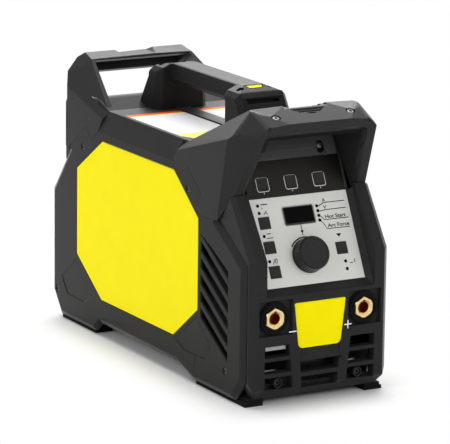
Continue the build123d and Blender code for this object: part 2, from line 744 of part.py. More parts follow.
def socket_insert():
    """The metal socket: hexagon front, plug bore and a rear stud."""
    axis = (0, 1, 0)
    face = Plane(origin=(socket_x, socket_start, socket_z), x_dir=(1, 0, 0), z_dir=axis)
    head = extrude(face * RegularPolygon(socket_hex / 2, 6, major_radius=False, rotation=30), amount=hex_depth)
    barrel_end = stud_y - socket_start
    barrel = rod((socket_x, socket_start + hex_depth, socket_z), axis, barrel_radius, barrel_end - hex_depth)
    stud = rod((socket_x, stud_y, socket_z), axis, stud_radius, 12.0)
    body = head + barrel + stud
    body -= rod((socket_x, socket_start - 1, socket_z), axis, socket_bore, barrel_end - 4)
    lead = face * Pos(0, 0, 0.75) * Cone(socket_bore + 1.5, socket_bore, 1.5)
    return body - lead


def socket_nut():
    """The ring nut behind the bezel wall."""
    axis = (0, 1, 0)
    face = Plane(origin=(socket_x, socket_back, socket_z), x_dir=(1, 0, 0), z_dir=axis)
    ring = extrude(face * RegularPolygon(14.0, 6, major_radius=False), amount=6.0)
    return ring - rod((socket_x, socket_back - 1, socket_z), axis, barrel_radius + 0.2, 10)


def busbar():
    """A copper strap from the stud up and back to the power board."""
    strap = block(socket_x - 10, socket_x + 10, stud_y, stud_y + 3, socket_z - 10, busbar_z)
    strap += block(socket_x - 10, socket_x + 10, stud_y, stud_y + 95, busbar_z - 3, busbar_z)
    strap += block(socket_x - 5, socket_x + 5, stud_y + 83, stud_y + 93, board_z + board_thick, busbar_z)
    return strap - rod((socket_x, stud_y - 1, socket_z), (0, 1, 0), stud_radius + 0.1, 5)


def busbar_nut():
    face = Plane(origin=(socket_x, stud_y + 3, socket_z), x_dir=(1, 0, 0), z_dir=(0, 1, 0))
    nut = extrude(face * RegularPolygon(8.5, 6, major_radius=False), amount=6.0)
    return nut - rod((socket_x, stud_y + 2, socket_z), (0, 1, 0), stud_radius + 0.1, 8)


# ---- deck, labels and handle ----------------------------------------------------------------------
def deck_plate():
    """The flat top between the covers, rising to a crest at the rear."""
    y0 = hood_back_y + gap
    side = [(y0, deck_z - deck_thick), (y0, deck_z), (deck_end_y, deck_z), (crest_y, crest_z),
            (crest_y, crest_z - deck_thick), (deck_end_y + 0.5, deck_z - deck_thick)]
    deck = prism_x(side, -deck_half, deck_half)
    rib_y0 = front_block[0] + gap
    rib_y1 = rear_block_y - gap
    return deck + block(-9, 9, rib_y0, rib_y1, deck_z, deck_z + 1.6)


def label():
    """A blank label sheet with one clipped corner, cut out round the front handle block."""
    beside = block_half + 1
    points = [(beside, label_front), (label_out - 10, label_front), (label_out, label_front + 20),
              (label_out, label_rear), (label_in, label_rear), (label_in, front_block[0] + 1),
              (beside, front_block[0] + 1)]
    outline = Polyline(*[(x, y, deck_z) for x, y in points], close=True)
    return extrude(make_face(outline), amount=label_thick)


def rear_block_outline():
    """Side view of the rear block, up to the joint line."""
    rise = (crest_z - deck_z) / (crest_y - deck_end_y)
    toe = rear_block_end + 15.5
    toe_z = deck_z + rise * (toe - deck_end_y) + gap
    return [(rear_block_y, deck_z), (rear_block_y, split_z), (rear_block_end, split_z),
            (toe, toe_z), (deck_end_y, deck_z + gap), (deck_end_y - 1, deck_z)]


def front_block_outline():
    """Side view of the front block, whose leaning face stands over the back of the hood."""
    slope = (ridge_z - deck_z) / (hood_back_y - ridge_y)
    low_y = front_block[1] - block_lean * (split_z - deck_z)
    rise = slope * (hood_back_y - low_y) / (1 + slope * block_lean) + 1.0
    return [(front_block[0], deck_z), (front_block[0], split_z), (front_block[1], split_z),
            (low_y + block_lean * rise, deck_z + rise), (hood_back_y + 0.6, deck_z)]


def cut_corners(part, face_y, turn, lean=0.0):
    """Chamfers the two upright corners of a handle block; turn points into the block."""
    for sign in (-1, 1):
        inner = sign * (block_half - block_corner)
        part = keep_inside(part, [(inner, face_y, split_z), (inner, face_y - lean * 10, split_z - 10),
                                  (sign * block_half, face_y + turn * block_corner, split_z)])
    return part


def handle_blocks(front_part, rear_part):
    """The two blocks with their chamfered corners."""
    front_part = cut_corners(front_part, front_block[1], 1, block_lean)
    front_part = cut_corners(front_part, front_block[0], -1)
    return front_part + cut_corners(rear_part, rear_block_y, 1)


def handle_lower():
    """Two blocks and the lower half of the grip, one moulding."""
    front_part = prism_x(front_block_outline(), -block_half, block_half)
    rear_part = prism_x(rear_block_outline(), -rear_block_half, rear_block_half)
    rear_part &= prism_y([(-rear_block_half, deck_z), (rear_block_half, deck_z), (block_half, split_z),
                          (-block_half, split_z)], rear_block_y - 1, rear_y)
    low = grip_z - grip_height
    bar = prism_y([(-grip_half, split_z), (-grip_half, split_z - 2), (-grip_half + 5, low),
                   (grip_half - 5, low), (grip_half, split_z - 2), (grip_half, split_z)],
                  front_block[0] - 2, rear_block_y + 2)
    handle = handle_blocks(front_part, rear_part) + bar
    hollow = block_half - 6
    handle -= block(-hollow, hollow, rear_block_y + 4, rear_block_y + 18, deck_z - 1, split_z - 7)
    handle -= block(-hollow, hollow, hood_back_y + 5, front_block[0] - 4, deck_z - 1, split_z - 7)
    for x, y, z in handle_screw_places():
        handle -= rod((x, y, z - handle_screw_length), (0, 0, 1), shank_radius, handle_screw_length)
    return handle


front_ramp = ((front_block[1] + 9.5, grip_z - 5.7), (front_block[0] - 12, grip_z - 0.5))
rear_ramp = ((rear_block_y - 8, grip_z), (rear_block_end - 5, grip_z - 4.5))


def handle_upper():
    """The upper half of the grip, with ramps down to both blocks."""
    face_top = split_z + 6.8
    side = [(front_block[1], split_z), (front_block[1] + block_lean * 6.8, face_top), *front_ramp,
            (front_block[0] - 3, grip_z), *rear_ramp, (rear_block_end - 2.5, grip_z - 9),
            (rear_block_end, split_z)]
    whole = prism_x(side, -block_half, block_half)
    front_part = whole & block(-half, half, front_y, front_block[0], split_z, grip_z)
    rear_part = whole & block(-half, half, rear_block_y, rear_y, split_z, grip_z)
    top = prism_x(side, -grip_half, grip_half) + handle_blocks(front_part, rear_part)
    for low_step, high_step in zip(roof_steps, roof_steps[1:]):
        for sign in (-1, 1):
            top = keep_inside(top, [(sign * low_step[0], 0, grip_z - low_step[1]),
                                    (sign * low_step[0], 50, grip_z - low_step[1]),
                                    (sign * high_step[0], 0, grip_z - high_step[1])])
    top -= block(-slot_half, slot_half, front_block[1] - 2, front_block[1] + 9, split_z - 1, split_z + slot_height)
    for x, y, z in handle_screw_places():
        top -= screw_hole((x, y, z), (0, 0, -1), handle_screw_length)
    for ramp in (front_ramp, rear_ramp):
        top -= handle_badge(ramp, 0.2, 2.0)
    return top


def handle_screw_places():
    return [(sign * handle_screw_x, y, handle_screw_z) for sign in (-1, 1) for y in handle_screw_y]


def handle_badge(ramp, grow, lift):
    """A small coloured inlay near the upper end of a ramp, narrower towards the front."""
    start, end = sorted((Vector(0, *point) for point in ramp), key=lambda point: point.Y)
    along = (end - start).normalized()
    middle = end - along * 4 if ramp is front_ramp else start + along * 19
    place = Plane(origin=middle, x_dir=(1, 0, 0), z_dir=Vector(0, -along.Z, along.Y))
    outline = Polyline((-10.3 - grow, 2.8 + grow), (10.3 + grow, 2.8 + grow),
                       (7.6 + grow, -2.8 - grow), (-7.6 - grow, -2.8 - grow), close=True)
    return place * Pos(0, 0, -1.1) * extrude(make_face(outline), amount=lift + 1)


# ---- rear frame ----------------------------------------------------------------------------------
def rear_frame():
    """The rear hoop, its saddle and the two corner posts, one moulding."""
    seam = gap
    front_edge_z = hoop_z - hoop_front_drop
    side = [(rear_rail_y, deck_z), (rear_rail_y + 4, deck_z), (bar_front_y, front_edge_z),
            (hoop_y - 8, hoop_z), (hoop_y, hoop_z - 6), (hoop_y, deck_z - 59), cover_rear[0]]
    outer = side + rear_tab[::-1]
    frame = prism_x(outer, -half, half)
    # room between the side walls, under the crest
    saddle = [(crest_y + gap, crest_z - 14), (crest_y + gap, crest_z), (crest_y + 8, crest_z),
              (hoop_y, crest_z - 14), (hoop_y, crest_z - 28), (hoop_y - 4, crest_z - 28),
              (hoop_y - 4, crest_z - 16), (crest_y + 12, crest_z - 8), (crest_y + 4, crest_z - 14)]
    inner = half - cover_depth
    below = deck_z - 12
    start_y = rear_rail_y - 40
    frame -= block(-inner, inner, start_y, hoop_y + 1, 0, below)
    frame -= prism_x([(start_y, below - 1), (start_y, deck_z + gap), (deck_end_y, deck_z + gap),
                      (crest_y, crest_z + gap), (hoop_y + 1, crest_z + gap), (hoop_y + 1, below - 1)],
                     -inner, inner)
    # the hand opening, wider at its foot
    flare = (opening_low - opening_top) / (hoop_z - 4 - crest_z)
    opening_foot = opening_low + flare * (crest_z - below)
    hole = prism_y([(-opening_foot, below), (opening_foot, below), (opening_top, hoop_z - 4),
                    (-opening_top, hoop_z - 4)], rear_rail_y - 5, hoop_y + 5)
    under = prism_x([(rear_rail_y - 5, below), (rear_rail_y - 5, front_edge_z + 8), (rear_y - 60, front_edge_z + 8),
                     (bar_front_y, front_edge_z - 2), (hoop_y + 1, hoop_z - bar_rear_drop - 1),
                     (hoop_y + 1, below)], -half, half)
    frame -= hole & under
    for sign in (-1, 1):
        bar_end = (sign * (half - 24), bar_front_y, front_edge_z)
        shoulder = (sign * (half - 25), hoop_y, hoop_z)
        corner = (sign * cover_in, hoop_y, hoop_z - 23.5)
        foot = (sign * (half - 2), rear_rail_y + 5.5, deck_z - 7)
        edge_x = sign * (half - 8)
        frame = keep_inside(frame, [bar_end, shoulder, corner])
        frame = keep_inside(frame, [bar_end, corner, foot])
        frame = keep_inside(frame, [(edge_x, hoop_y, crest_z), (edge_x, hoop_y, hoop_z),
                                    (sign * half, hoop_y - 14, crest_z)])
    # the bar is hollow below, between its front and rear walls
    front_wall_y = bar_front_y + bar_wall
    rear_wall_y = hoop_y - bar_wall
    frame -= prism_x([(front_wall_y, front_edge_z - 3), (front_wall_y + 4, hoop_z - 6), (hoop_y - 8, hoop_z - 6),
                      (rear_wall_y, hoop_z - 9), (rear_wall_y, hoop_z - bar_rear_drop - 2),
                      (front_wall_y, front_edge_z - 6)], -channel_half, channel_half)
    # shallow notch in the middle of the top bar
    frame -= prism_y([(-27, hoop_z + 1), (-19, hoop_z - 4), (19, hoop_z - 4), (27, hoop_z + 1)],
                     rear_rail_y, hoop_y + 1)
    frame += prism_x(saddle, -inner, inner)
    posts = inset([(rear_y - 45, cover_low_z + 6), (rear_y - 45, deck_z - 57), *cover_rear[1:3],
                   (rear_y - 18, cover_low_z + 6)], cover_wall + seam)
    post = prism_x(posts, pan_half + gap, cover_in - gap)
    lug = prism_x([(rear_y - 100, deck_z - 36), (rear_y - 86, deck_z - 26), (rear_y - 46, deck_z - 55),
                   (rear_y - 57, deck_z - 72)], cover_in - 8, half - cover_wall - gap)
    link = prism_x([(hoop_y - 20, deck_z - 75), (hoop_y - 20, deck_z - 40), (hoop_y, deck_z - 40),
                    (hoop_y, deck_z - 75)], cover_in - 8, cover_in)
    for piece in both(post) + both(lug) + both(link):
        frame += piece
    y, z = side_screw_places[1]
    boss_y, boss_z = pan_screw_places[1]
    for sign in (-1, 1):
        frame -= screw_hole((sign * (half - 0.4), y, z), (-sign, 0, 0), side_screw_length)
        frame -= rod((sign * pan_half, boss_y, boss_z), (sign, 0, 0), boss_radius + gap, cover_depth + 8)
    for x in (-rear_screw_x, rear_screw_x):
        frame -= rod((x, hoop_y - 6, rear_screw_top), (0, 1, 0), shank_radius, 8)
    return frame


# ---- base, rear panel and fan ------------------------------------------------------------------
def base_pan():
    """The folded sheet base that carries the covers and the electronics."""
    pan = block(-pan_half, pan_half, pan_front, pan_rear, pan_z, pan_z + sheet)
    wall = block(pan_half - sheet, pan_half, pan_front, pan_rear, pan_z, pan_wall_top)
    tab = block(grille_screw_x - 9, grille_screw_x + 9, pan_front, pan_front + sheet, pan_z, grille_screw_z + 9)
    for piece in both(wall) + both(tab):
        pan += piece
    pan += block(-rear_screw_x - 8, rear_screw_x + 8, hoop_y - sheet, hoop_y, pan_z, rear_screw_low + 9)
    for sign in (-1, 1):
        for y, z in pan_screw_places:
            pan -= rod((sign * (pan_half - 4), y, z), (sign, 0, 0), shank_radius, 8)
        pan -= rod((sign * grille_screw_x, pan_front - 2, grille_screw_z), (0, 1, 0), shank_radius, 6)
        pan -= rod((sign * rear_screw_x, hoop_y - 4, rear_screw_low), (0, 1, 0), shank_radius, 8)
    return pan


def rubber_feet():
    """Four long feet, stepped up to the pan and the front frame."""
    feet = []
    low = cover_low_z
    inner = half - 26
    under_pan = pan_half - 0.5
    front_foot = block(inner, bezel_half, front_y + 11, arch_front_y - 2, 0, low)
    front_foot += block(inner, bezel_half - 3, front_y + 11, front_y + 26 + tongue, 0, bezel_low_z)
    front_foot += block(inner, under_pan, front_y + 27 + tongue, arch_front_y - 6, 0, pan_z)
    rear_foot = block(inner, bezel_half, arch_rear_y + 2, rear_y - 21, 0, low)
    rear_foot += block(inner, under_pan, arch_rear_y + 6, rear_y - 24, 0, pan_z)
    for foot in (front_foot, rear_foot):
        feet += both(foot)
    return feet


def rear_panel():
    """The sheet rear wall between the posts."""
    top = crest_z - 17
    step = deck_z - 59.5
    low_half = pan_half - sheet - 0.1
    wall = block(-low_half, low_half, hoop_y, hoop_y + sheet, pan_z + sheet, step)
    wall += block(-deck_half, deck_half, hoop_y, hoop_y + sheet, step, top)
    y0 = hoop_y - 1
    wall -= rod((0, y0, fan_z), (0, 1, 0), fan_bore + 1, 5)
    wide, tall = switch_half
    wall -= block(inlet_x - wide, inlet_x + wide, y0, y0 + 5, inlet_z - tall, inlet_z + tall)
    wall -= rod((-inlet_x, y0, inlet_z), (0, 1, 0), gland_thread + 0.1, 5)
    for x in (-rear_screw_x, rear_screw_x):
        for z in (rear_screw_low, rear_screw_top):
            wall -= rod((x, y0, z), (0, 1, 0), shank_radius, 5)
    for x in (-fan_screw, fan_screw):
        for z in (fan_z - fan_screw, fan_z + fan_screw):
            wall -= rod((x, y0, z), (0, 1, 0), shank_radius, 5)
    return wall


def fan_frame():
    """The square fan housing with its hub carrier."""
    y0 = hoop_y - fan_depth
    side = fan_size / 2
    frame = block(-side, side, y0, hoop_y, fan_z - side, fan_z + side)
    frame -= rod((0, y0 - 1, fan_z), (0, 1, 0), fan_bore, fan_depth + 2)
    hub = rod((0, y0, fan_z), (0, 1, 0), hub_radius - 1, 4.0)
    for angle in (45, 135):
        spoke = Pos(0, y0 + 2, fan_z) * Rot(0, angle, 0) * Box(2 * fan_bore + 2, 4, 5)
        hub += spoke
    frame += hub
    frame -= rod((0, y0 - 1, fan_z), (0, 1, 0), fan_axle + shaft_fit, 6)
    for x in (-fan_screw, fan_screw):
        for z in (fan_z - fan_screw, fan_z + fan_screw):
            frame -= rod((x, y0 - 1, z), (0, 1, 0), shank_radius, fan_depth + 2)
    return frame


def fan_rotor():
    """The hub, its axle and seven pitched blades."""
    y0 = hoop_y - fan_depth
    body = fan_depth - 12
    hub = rod((0, y0 + 5.0, fan_z), (0, 1, 0), hub_radius, body)
    hub += rod((0, y0 + 0.5, fan_z), (0, 1, 0), fan_axle, 5.0)
    tip = fan_bore - blade_gap
    root = hub_radius - 1
    for index in range(blade_count):
        blade = Pos((root + tip) / 2, 0, 0) * Rot(40, 0, 0) * Box(tip - root, 2.0, 29)
        hub += Pos(0, y0 + 5 + body / 2, fan_z) * Rot(0, index * 360 / blade_count, 0) * blade
    return hub & rod((0, y0, fan_z), (0, 1, 0), tip, fan_depth)


def ring(radius, thick, y0, depth):
    """A flat ring round the fan axis."""
    outer = rod((0, y0, fan_z), (0, 1, 0), radius, depth)
    return outer - rod((0, y0 - 1, fan_z), (0, 1, 0), radius - thick, depth + 2)


def fan_guard():
    """Finger guard over the fan opening: rings on four arms."""
    y0 = hoop_y + sheet
    depth = 2.4
    guard = ring(fan_bore + 2, 3.0, y0, depth)
    for radius in (46.0, 35.0, 24.0, 13.0):
        guard += ring(radius, 2.6, y0, depth)
    for angle in (45, 135):
        guard += Pos(0, y0 + depth / 2, fan_z) * Rot(0, angle, 0) * Box(2 * fan_screw * 1.414, depth, 4)
    for x in (-fan_screw, fan_screw):
        for z in (fan_z - fan_screw, fan_z + fan_screw):
            guard += rod((x, y0, z), (0, 1, 0), 6.0, depth)
            guard -= rod((x, y0 - 1, z), (0, 1, 0), shank_radius, depth + 2)
    return guard


# ---- mains switch and cable gland -----------------------------------------------------------------
def switch_body():
    """The snap-in switch case with the trough of its rocker."""
    y0 = hoop_y + sheet
    wide, tall = switch_half
    case = block(inlet_x - wide, inlet_x + wide, y0 - 24, y0, inlet_z - tall, inlet_z + tall)
    case += block(inlet_x - wide - 2, inlet_x + wide + 2, y0, y0 + 2.2, inlet_z - tall - 2, inlet_z + tall + 2)
    case -= block(inlet_x - wide + 1.6, inlet_x + wide - 1.6, y0 - 10, y0 + 3,
                  inlet_z - tall + 1.4, inlet_z + tall - 1.4)
    return case - rod((inlet_x - wide + 0.5, rocker_y, inlet_z), (1, 0, 0), rocker_pin + shaft_fit, 2 * wide - 1)


def switch_rocker():
    """The rocker with its two stub pins, resting in the off position."""
    side = [(-6, -6), (-2.5, -11.6), (4.0, -11.6), (1.8, 0), (4.0, 11.6), (-2.5, 11.6), (-6, 6)]
    wide = switch_half[0] - 2
    body = prism_x(side, -wide, wide) + rod((-wide - 1.3, 0, 0), (1, 0, 0), rocker_pin, 2 * wide + 2.6)
    return Pos(inlet_x, rocker_y, inlet_z) * Rot(-rocker_angle / 2, 0, 0) * body


def gland_body():
    """The threaded gland through the rear wall."""
    y0 = hoop_y + sheet
    axis = (0, 1, 0)
    face = Plane(origin=(-inlet_x, y0, inlet_z), x_dir=(1, 0, 0), z_dir=axis)
    body = extrude(face * RegularPolygon(gland_hex / 2, 6, major_radius=False), amount=5.0)
    body += rod((-inlet_x, y0 - 12, inlet_z), axis, gland_thread, 22)
    return body - rod((-inlet_x, y0 - 13, inlet_z), axis, gland_thread - 4, 30)


def gland_cap():
    """The dome nut of the gland."""
    y0 = hoop_y + sheet + 5.0
    axis = (0, 1, 0)
    face = Plane(origin=(-inlet_x, y0, inlet_z), x_dir=(1, 0, 0), z_dir=axis)
    cap = extrude(face * RegularPolygon(gland_hex / 2, 6, major_radius=False), amount=7.0)
    cap += face * Pos(0, 0, 7 + 3.5) * Cone(gland_thread + 1.5, gland_thread - 2.5, 7.0)
    cap -= rod((-inlet_x, y0 - 1, inlet_z), axis, gland_thread, 6.2)
    return cap - rod((-inlet_x, y0 - 1, inlet_z), axis, gland_thread - 5, 30)


def gland_nut():
    """The lock nut inside the rear wall."""
    axis = (0, 1, 0)
    face = Plane(origin=(-inlet_x, hoop_y - 4.5, inlet_z), x_dir=(1, 0, 0), z_dir=axis)
    nut = extrude(face * RegularPolygon(gland_hex / 2, 6, major_radius=False), amount=4.5)
    return nut - rod((-inlet_x, hoop_y - 6, inlet_z), axis, gland_thread, 8)


# ---- electronics ---------------------------------------------------------------------------------
def heat_sink():
    """An extrusion standing on the pan, fins outwards."""
    floor = pan_z + sheet
    web = 18.0
    sink = block(web, web + 6, sink_front, sink_rear, floor, board_z)
    pitch = (board_z - floor) / fin_count
    for index in range(fin_count):
        z = floor + index * pitch
        sink += block(web + 6, pan_half - 10.5, sink_front, sink_rear, z, z + 2.2)
    return sink


def power_board():
    """The board that lies on both heat sinks."""
    return block(-board_half, board_half, sink_front - 5, sink_rear, board_z, board_z + board_thick)


def capacitors():
    """Four smoothing capacitors along the rear of the board."""
    top = board_z + board_thick
    pitch = (board_half - capacitor_radius) * 2 / 3
    return [rod(((index - 1.5) * pitch, capacitor_y, top), (0, 0, 1), capacitor_radius, 40.0)
            for index in range(4)]


def transformer_core():
    """A ferrite core with two windows."""
    top = board_z + board_thick
    wide, deep = transformer_half
    core = block(-wide, wide, transformer_y - deep + 10, transformer_y + deep - 10, top, top + 52)
    for window in both(block(8, wide - 10, transformer_y - deep, transformer_y + deep, top + 10, top + 42)):
        core -= window
    return core


def transformer_winding():
    """The coil round the middle leg of the core."""
    top = board_z + board_thick
    wide, deep = transformer_half
    coil = block(-wide + 10.4, wide - 10.4, transformer_y - deep, transformer_y + deep, top + 10.4, top + 41.6)
    leg_y = deep - 9.7
    return coil - block(-8.3, 8.3, transformer_y - leg_y, transformer_y + leg_y, top + 9, top + 43)


def output_choke():
    """A toroid lying on the board."""
    main, wire = choke_radius
    return Pos(0, choke_y, board_z + board_thick + wire) * Torus(main, wire)


# ---- fasteners -----------------------------------------------------------------------------------
def side_screws():
    places = side_screw_places + pan_screw_places
    return [screw((sign * (half - 0.4), y, z), (-sign, 0, 0), side_screw_length)
            for sign in (-1, 1) for y, z in places]


def front_screws():
    """Two through the grille and one through the panel housing."""
    screws = [screw((sign * grille_screw_x, front_y + 5.0, grille_screw_z), (0, 1, 0), grille_screw_length)
              for sign in (-1, 1)]
    start = panel.from_local_coords((panel_screw[0], panel_screw[1], 1.9))
    return screws + [screw(start, -panel.z_dir, 9.0)]


def rear_screws():
    """Four in the rear wall and four in the fan guard."""
    y0 = hoop_y + sheet
    out = (0, -1, 0)
    screws = [screw((x, y0 + head_height, z), out, 6.0)
              for x in (-rear_screw_x, rear_screw_x) for z in (rear_screw_low, rear_screw_top)]
    screws += [screw((x, y0 + 2.4 + head_height, z), out, 18.0)
               for x in (-fan_screw, fan_screw) for z in (fan_z - fan_screw, fan_z + fan_screw)]
    return screws


def handle_bolts():
    """Hexagon bolts from below the deck into the two blocks."""
    bolts = []
    for x in (-22.0, 22.0):
        for y in (front_block[0] - 9.0, rear_block_y + 11.0):
            face = Plane(origin=(x, y, deck_z - deck_thick), x_dir=(1, 0, 0), z_dir=(0, 0, -1))
            bolts.append(extrude(face * RegularPolygon(5.0, 6, major_radius=False), amount=4.0))
    return bolts


# ---- files ---------------------------------------------------------------------------------------
cover = side_cover()
save("side_cover_right", cover)
save("side_cover_left", other_side(cover))
save("side_badges", *both(side_badge()))
save("louvre_screens", *both(louvre_screen()))
save("front_hood", front_hood())
save("hood_liner", hood_liner())
save("front_bezel", front_bezel())
save("front_badge", prism_y(front_badge_outline(0), front_y + 1.4, front_y + 3))
save("name_plate", plaque_shape(0, 0.6))
save("panel_housing", panel_housing())
save("panel_fascia", panel_fascia())
save("panel_film", panel_film())
save("display_window", display_window())
save("display_module", display_module())
save("indicator_lamps", *led_lenses())
save("control_board", control_board())
save("tact_switches", *tact_switches())
for name, place in zip(button_names, button_places):
    save(name, button(*place))
save("encoder_body", encoder_body())
save("encoder_shaft", encoder_shaft())
save("control_knob", control_knob())
insert = socket_insert()
save("socket_insert_positive", insert)
save("socket_insert_negative", other_side(insert))
save("socket_insulators", *both(socket_insulator()))
save("socket_nuts", *both(socket_nut()), *both(busbar_nut()))
save("busbars", *both(busbar()))
save("deck_plate", deck_plate())
save("deck_labels", *both(label()))
save("handle_lower", handle_lower())
save("handle_upper", handle_upper())
save("handle_badges", *[handle_badge(ramp, 0, 0) for ramp in (front_ramp, rear_ramp)])
save("rear_frame", rear_frame())
save("rear_panel", rear_panel())
save("base_pan", base_pan())
save("rubber_feet", *rubber_feet())
save("fan_frame", fan_frame())
save("fan_rotor", fan_rotor())
save("fan_guard", fan_guard())
save("switch_body", switch_body())
save("switch_rocker", switch_rocker())
save("gland_body", gland_body())
save("gland_cap", gland_cap())
save("gland_nut", gland_nut())
save("heat_sinks", *both(heat_sink()))
save("power_board", power_board())
save("capacitors", *capacitors())
save("transformer_core", transformer_core())
save("transformer_winding", transformer_winding())
save("output_choke", output_choke())
save("hood_screws", *[screw(hood_screw_start(sign), (0, 0, -1), hood_screw_length) for sign in (-1, 1)])
save("side_screws", *side_screws())
save("front_screws", *front_screws())
handle_screws = [screw(place, (0, 0, -1), handle_screw_length) for place in handle_screw_places()]
save("handle_fasteners", *handle_screws, *handle_bolts())
save("rear_screws", *rear_screws())
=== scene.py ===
from math import atan2, cos, hypot, pi, radians, sin

import bmesh
import bpy
from mathutils import Matrix, Vector


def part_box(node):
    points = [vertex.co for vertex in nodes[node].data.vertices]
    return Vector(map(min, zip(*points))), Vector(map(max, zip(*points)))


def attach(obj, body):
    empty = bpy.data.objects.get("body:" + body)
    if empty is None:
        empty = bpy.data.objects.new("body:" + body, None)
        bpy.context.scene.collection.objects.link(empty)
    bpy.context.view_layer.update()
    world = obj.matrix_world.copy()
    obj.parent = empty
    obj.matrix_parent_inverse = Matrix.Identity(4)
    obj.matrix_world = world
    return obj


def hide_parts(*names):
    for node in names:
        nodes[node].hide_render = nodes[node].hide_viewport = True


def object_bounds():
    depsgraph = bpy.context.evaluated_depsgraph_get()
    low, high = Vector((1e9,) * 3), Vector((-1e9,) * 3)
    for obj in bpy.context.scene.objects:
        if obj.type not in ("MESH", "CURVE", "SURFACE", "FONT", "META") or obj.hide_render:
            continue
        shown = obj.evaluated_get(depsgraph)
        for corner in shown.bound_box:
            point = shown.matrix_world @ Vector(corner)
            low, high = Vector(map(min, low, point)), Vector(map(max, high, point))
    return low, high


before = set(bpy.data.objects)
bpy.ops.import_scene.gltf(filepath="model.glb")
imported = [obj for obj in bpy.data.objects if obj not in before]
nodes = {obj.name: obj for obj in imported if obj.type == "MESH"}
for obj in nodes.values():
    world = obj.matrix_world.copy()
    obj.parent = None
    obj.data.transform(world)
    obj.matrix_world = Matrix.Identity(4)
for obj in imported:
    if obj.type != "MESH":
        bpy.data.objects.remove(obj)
cad_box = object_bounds()
scene = bpy.context.scene
mm = 0.001

# The camera stands far away to the left of the front and a little above the machine. It has a long
# lens, so that the front panel and the left cover both show and the uprights stay nearly parallel.
camera_place = Vector((-1.732538, -3.063581, 0.961990))
camera_right = Vector((0.87016974, -0.49260967, 0.01184656))
camera_up = Vector((0.10074704, 0.20139537, 0.97431511))
camera_back = camera_right.cross(camera_up)
camera_data = bpy.data.cameras.new("camera")
camera_data.sensor_width = 36.0
camera_data.lens = 255.647
camera_data.clip_start = 0.1
camera_data.clip_end = 50.0
camera = bpy.data.objects.new("camera", camera_data)
scene.collection.objects.link(camera)
turn = Matrix((camera_right, camera_up, camera_back)).transposed().to_4x4()
camera.matrix_world = Matrix.Translation(camera_place) @ turn
scene.camera = camera
scene.view_settings.view_transform = "Standard"


# The studio is a white floor that fades into a white surround. A broad lamp hangs overhead, one
# skims the tops from behind, and two stand to the left and in front, so that shadows stay soft.
def linear(code):
    """An sRGB hex value as linear red, green, blue and alpha."""
    parts = [int(code[i:i + 2], 16) / 255 for i in (1, 3, 5)]
    return [c / 12.92 if c <= 0.04045 else ((c + 0.055) / 1.055) ** 2.4 for c in parts] + [1.0]


def add(tree, kind, values=None, **settings):
    """Adds a node; a value that is another node's output is linked."""
    node = tree.nodes.new(kind)
    for name, value in settings.items():
        setattr(node, name, value)
    for socket, value in (values or {}).items():
        if isinstance(value, bpy.types.NodeSocket):
            tree.links.new(value, node.inputs[socket])
        else:
            node.inputs[socket].default_value = value
    return node


def start_material(name):
    """An empty node material; returns the material, its tree and its output."""
    material = bpy.data.materials.new(name)
    material.use_nodes = True
    tree = material.node_tree
    tree.nodes.clear()
    return material, tree, tree.nodes.new("ShaderNodeOutputMaterial")


world = bpy.data.worlds.new("studio_surround")
scene.world = world
world.use_nodes = True
tree = world.node_tree
tree.nodes.clear()
path = add(tree, "ShaderNodeLightPath")
seen = add(tree, "ShaderNodeMath",
           {0: path.outputs["Is Camera Ray"], 1: path.outputs["Is Transmission Ray"]}, operation="MAXIMUM")
seen = add(tree, "ShaderNodeMath",
           {0: seen.outputs[0], 1: path.outputs["Is Glossy Ray"]}, operation="MAXIMUM")
surround_light = 0.36
strength = add(tree, "ShaderNodeMapRange",
               {"Value": seen.outputs[0], "To Min": surround_light, "To Max": 1.0})
shade = add(tree, "ShaderNodeBackground", {"Color": (1, 1, 1, 1), "Strength": strength.outputs[0]})
add(tree, "ShaderNodeOutputWorld", {"Surface": shade.outputs[0]})

floor_size = 12.0
fade_reach = 0.06
bpy.ops.mesh.primitive_plane_add(size=floor_size, location=(0, 0, 0))
floor = bpy.context.object
floor.name = "floor"
white_floor, tree, out = start_material("white_floor")
place = add(tree, "ShaderNodeTexCoord").outputs["Object"]
mirror = add(tree, "ShaderNodeVectorMath", {0: place}, operation="ABSOLUTE")
beside = add(tree, "ShaderNodeVectorMath", {0: mirror.outputs[0], 1: cad_box[1]}, operation="SUBTRACT")
clear = add(tree, "ShaderNodeVectorMath", {0: beside.outputs[0], 1: (0, 0, 0)}, operation="MAXIMUM")
away = add(tree, "ShaderNodeVectorMath", {0: clear.outputs[0]}, operation="LENGTH")
fade = add(tree, "ShaderNodeMapRange", {"Value": away.outputs["Value"], "From Max": fade_reach},
           interpolation_type="SMOOTHSTEP")
path = add(tree, "ShaderNodeLightPath")
share = add(tree, "ShaderNodeMath", {0: fade.outputs[0], 1: path.outputs["Is Camera Ray"]},
            operation="MULTIPLY")
paint = add(tree, "ShaderNodeBsdfDiffuse", {"Color": linear("#FAFAFA")})
glow = add(tree, "ShaderNodeEmission", {"Color": (1, 1, 1, 1), "Strength": 1.0})
both = add(tree, "ShaderNodeMixShader",
           {0: share.outputs[0], 1: paint.outputs[0], 2: glow.outputs[0]})
tree.links.new(both.outputs[0], out.inputs["Surface"])
floor.data.materials.append(white_floor)


def lamp(name, place, aim, size, power):
    """A rectangular soft lamp pointed at a place."""
    data = bpy.data.lights.new(name, "AREA")
    data.shape = "RECTANGLE"
    data.size, data.size_y = size
    data.energy = power
    thing = bpy.data.objects.new(name, data)
    scene.collection.objects.link(thing)
    thing.location = place
    thing.rotation_euler = (Vector(aim) - Vector(place)).to_track_quat("-Z", "Y").to_euler()


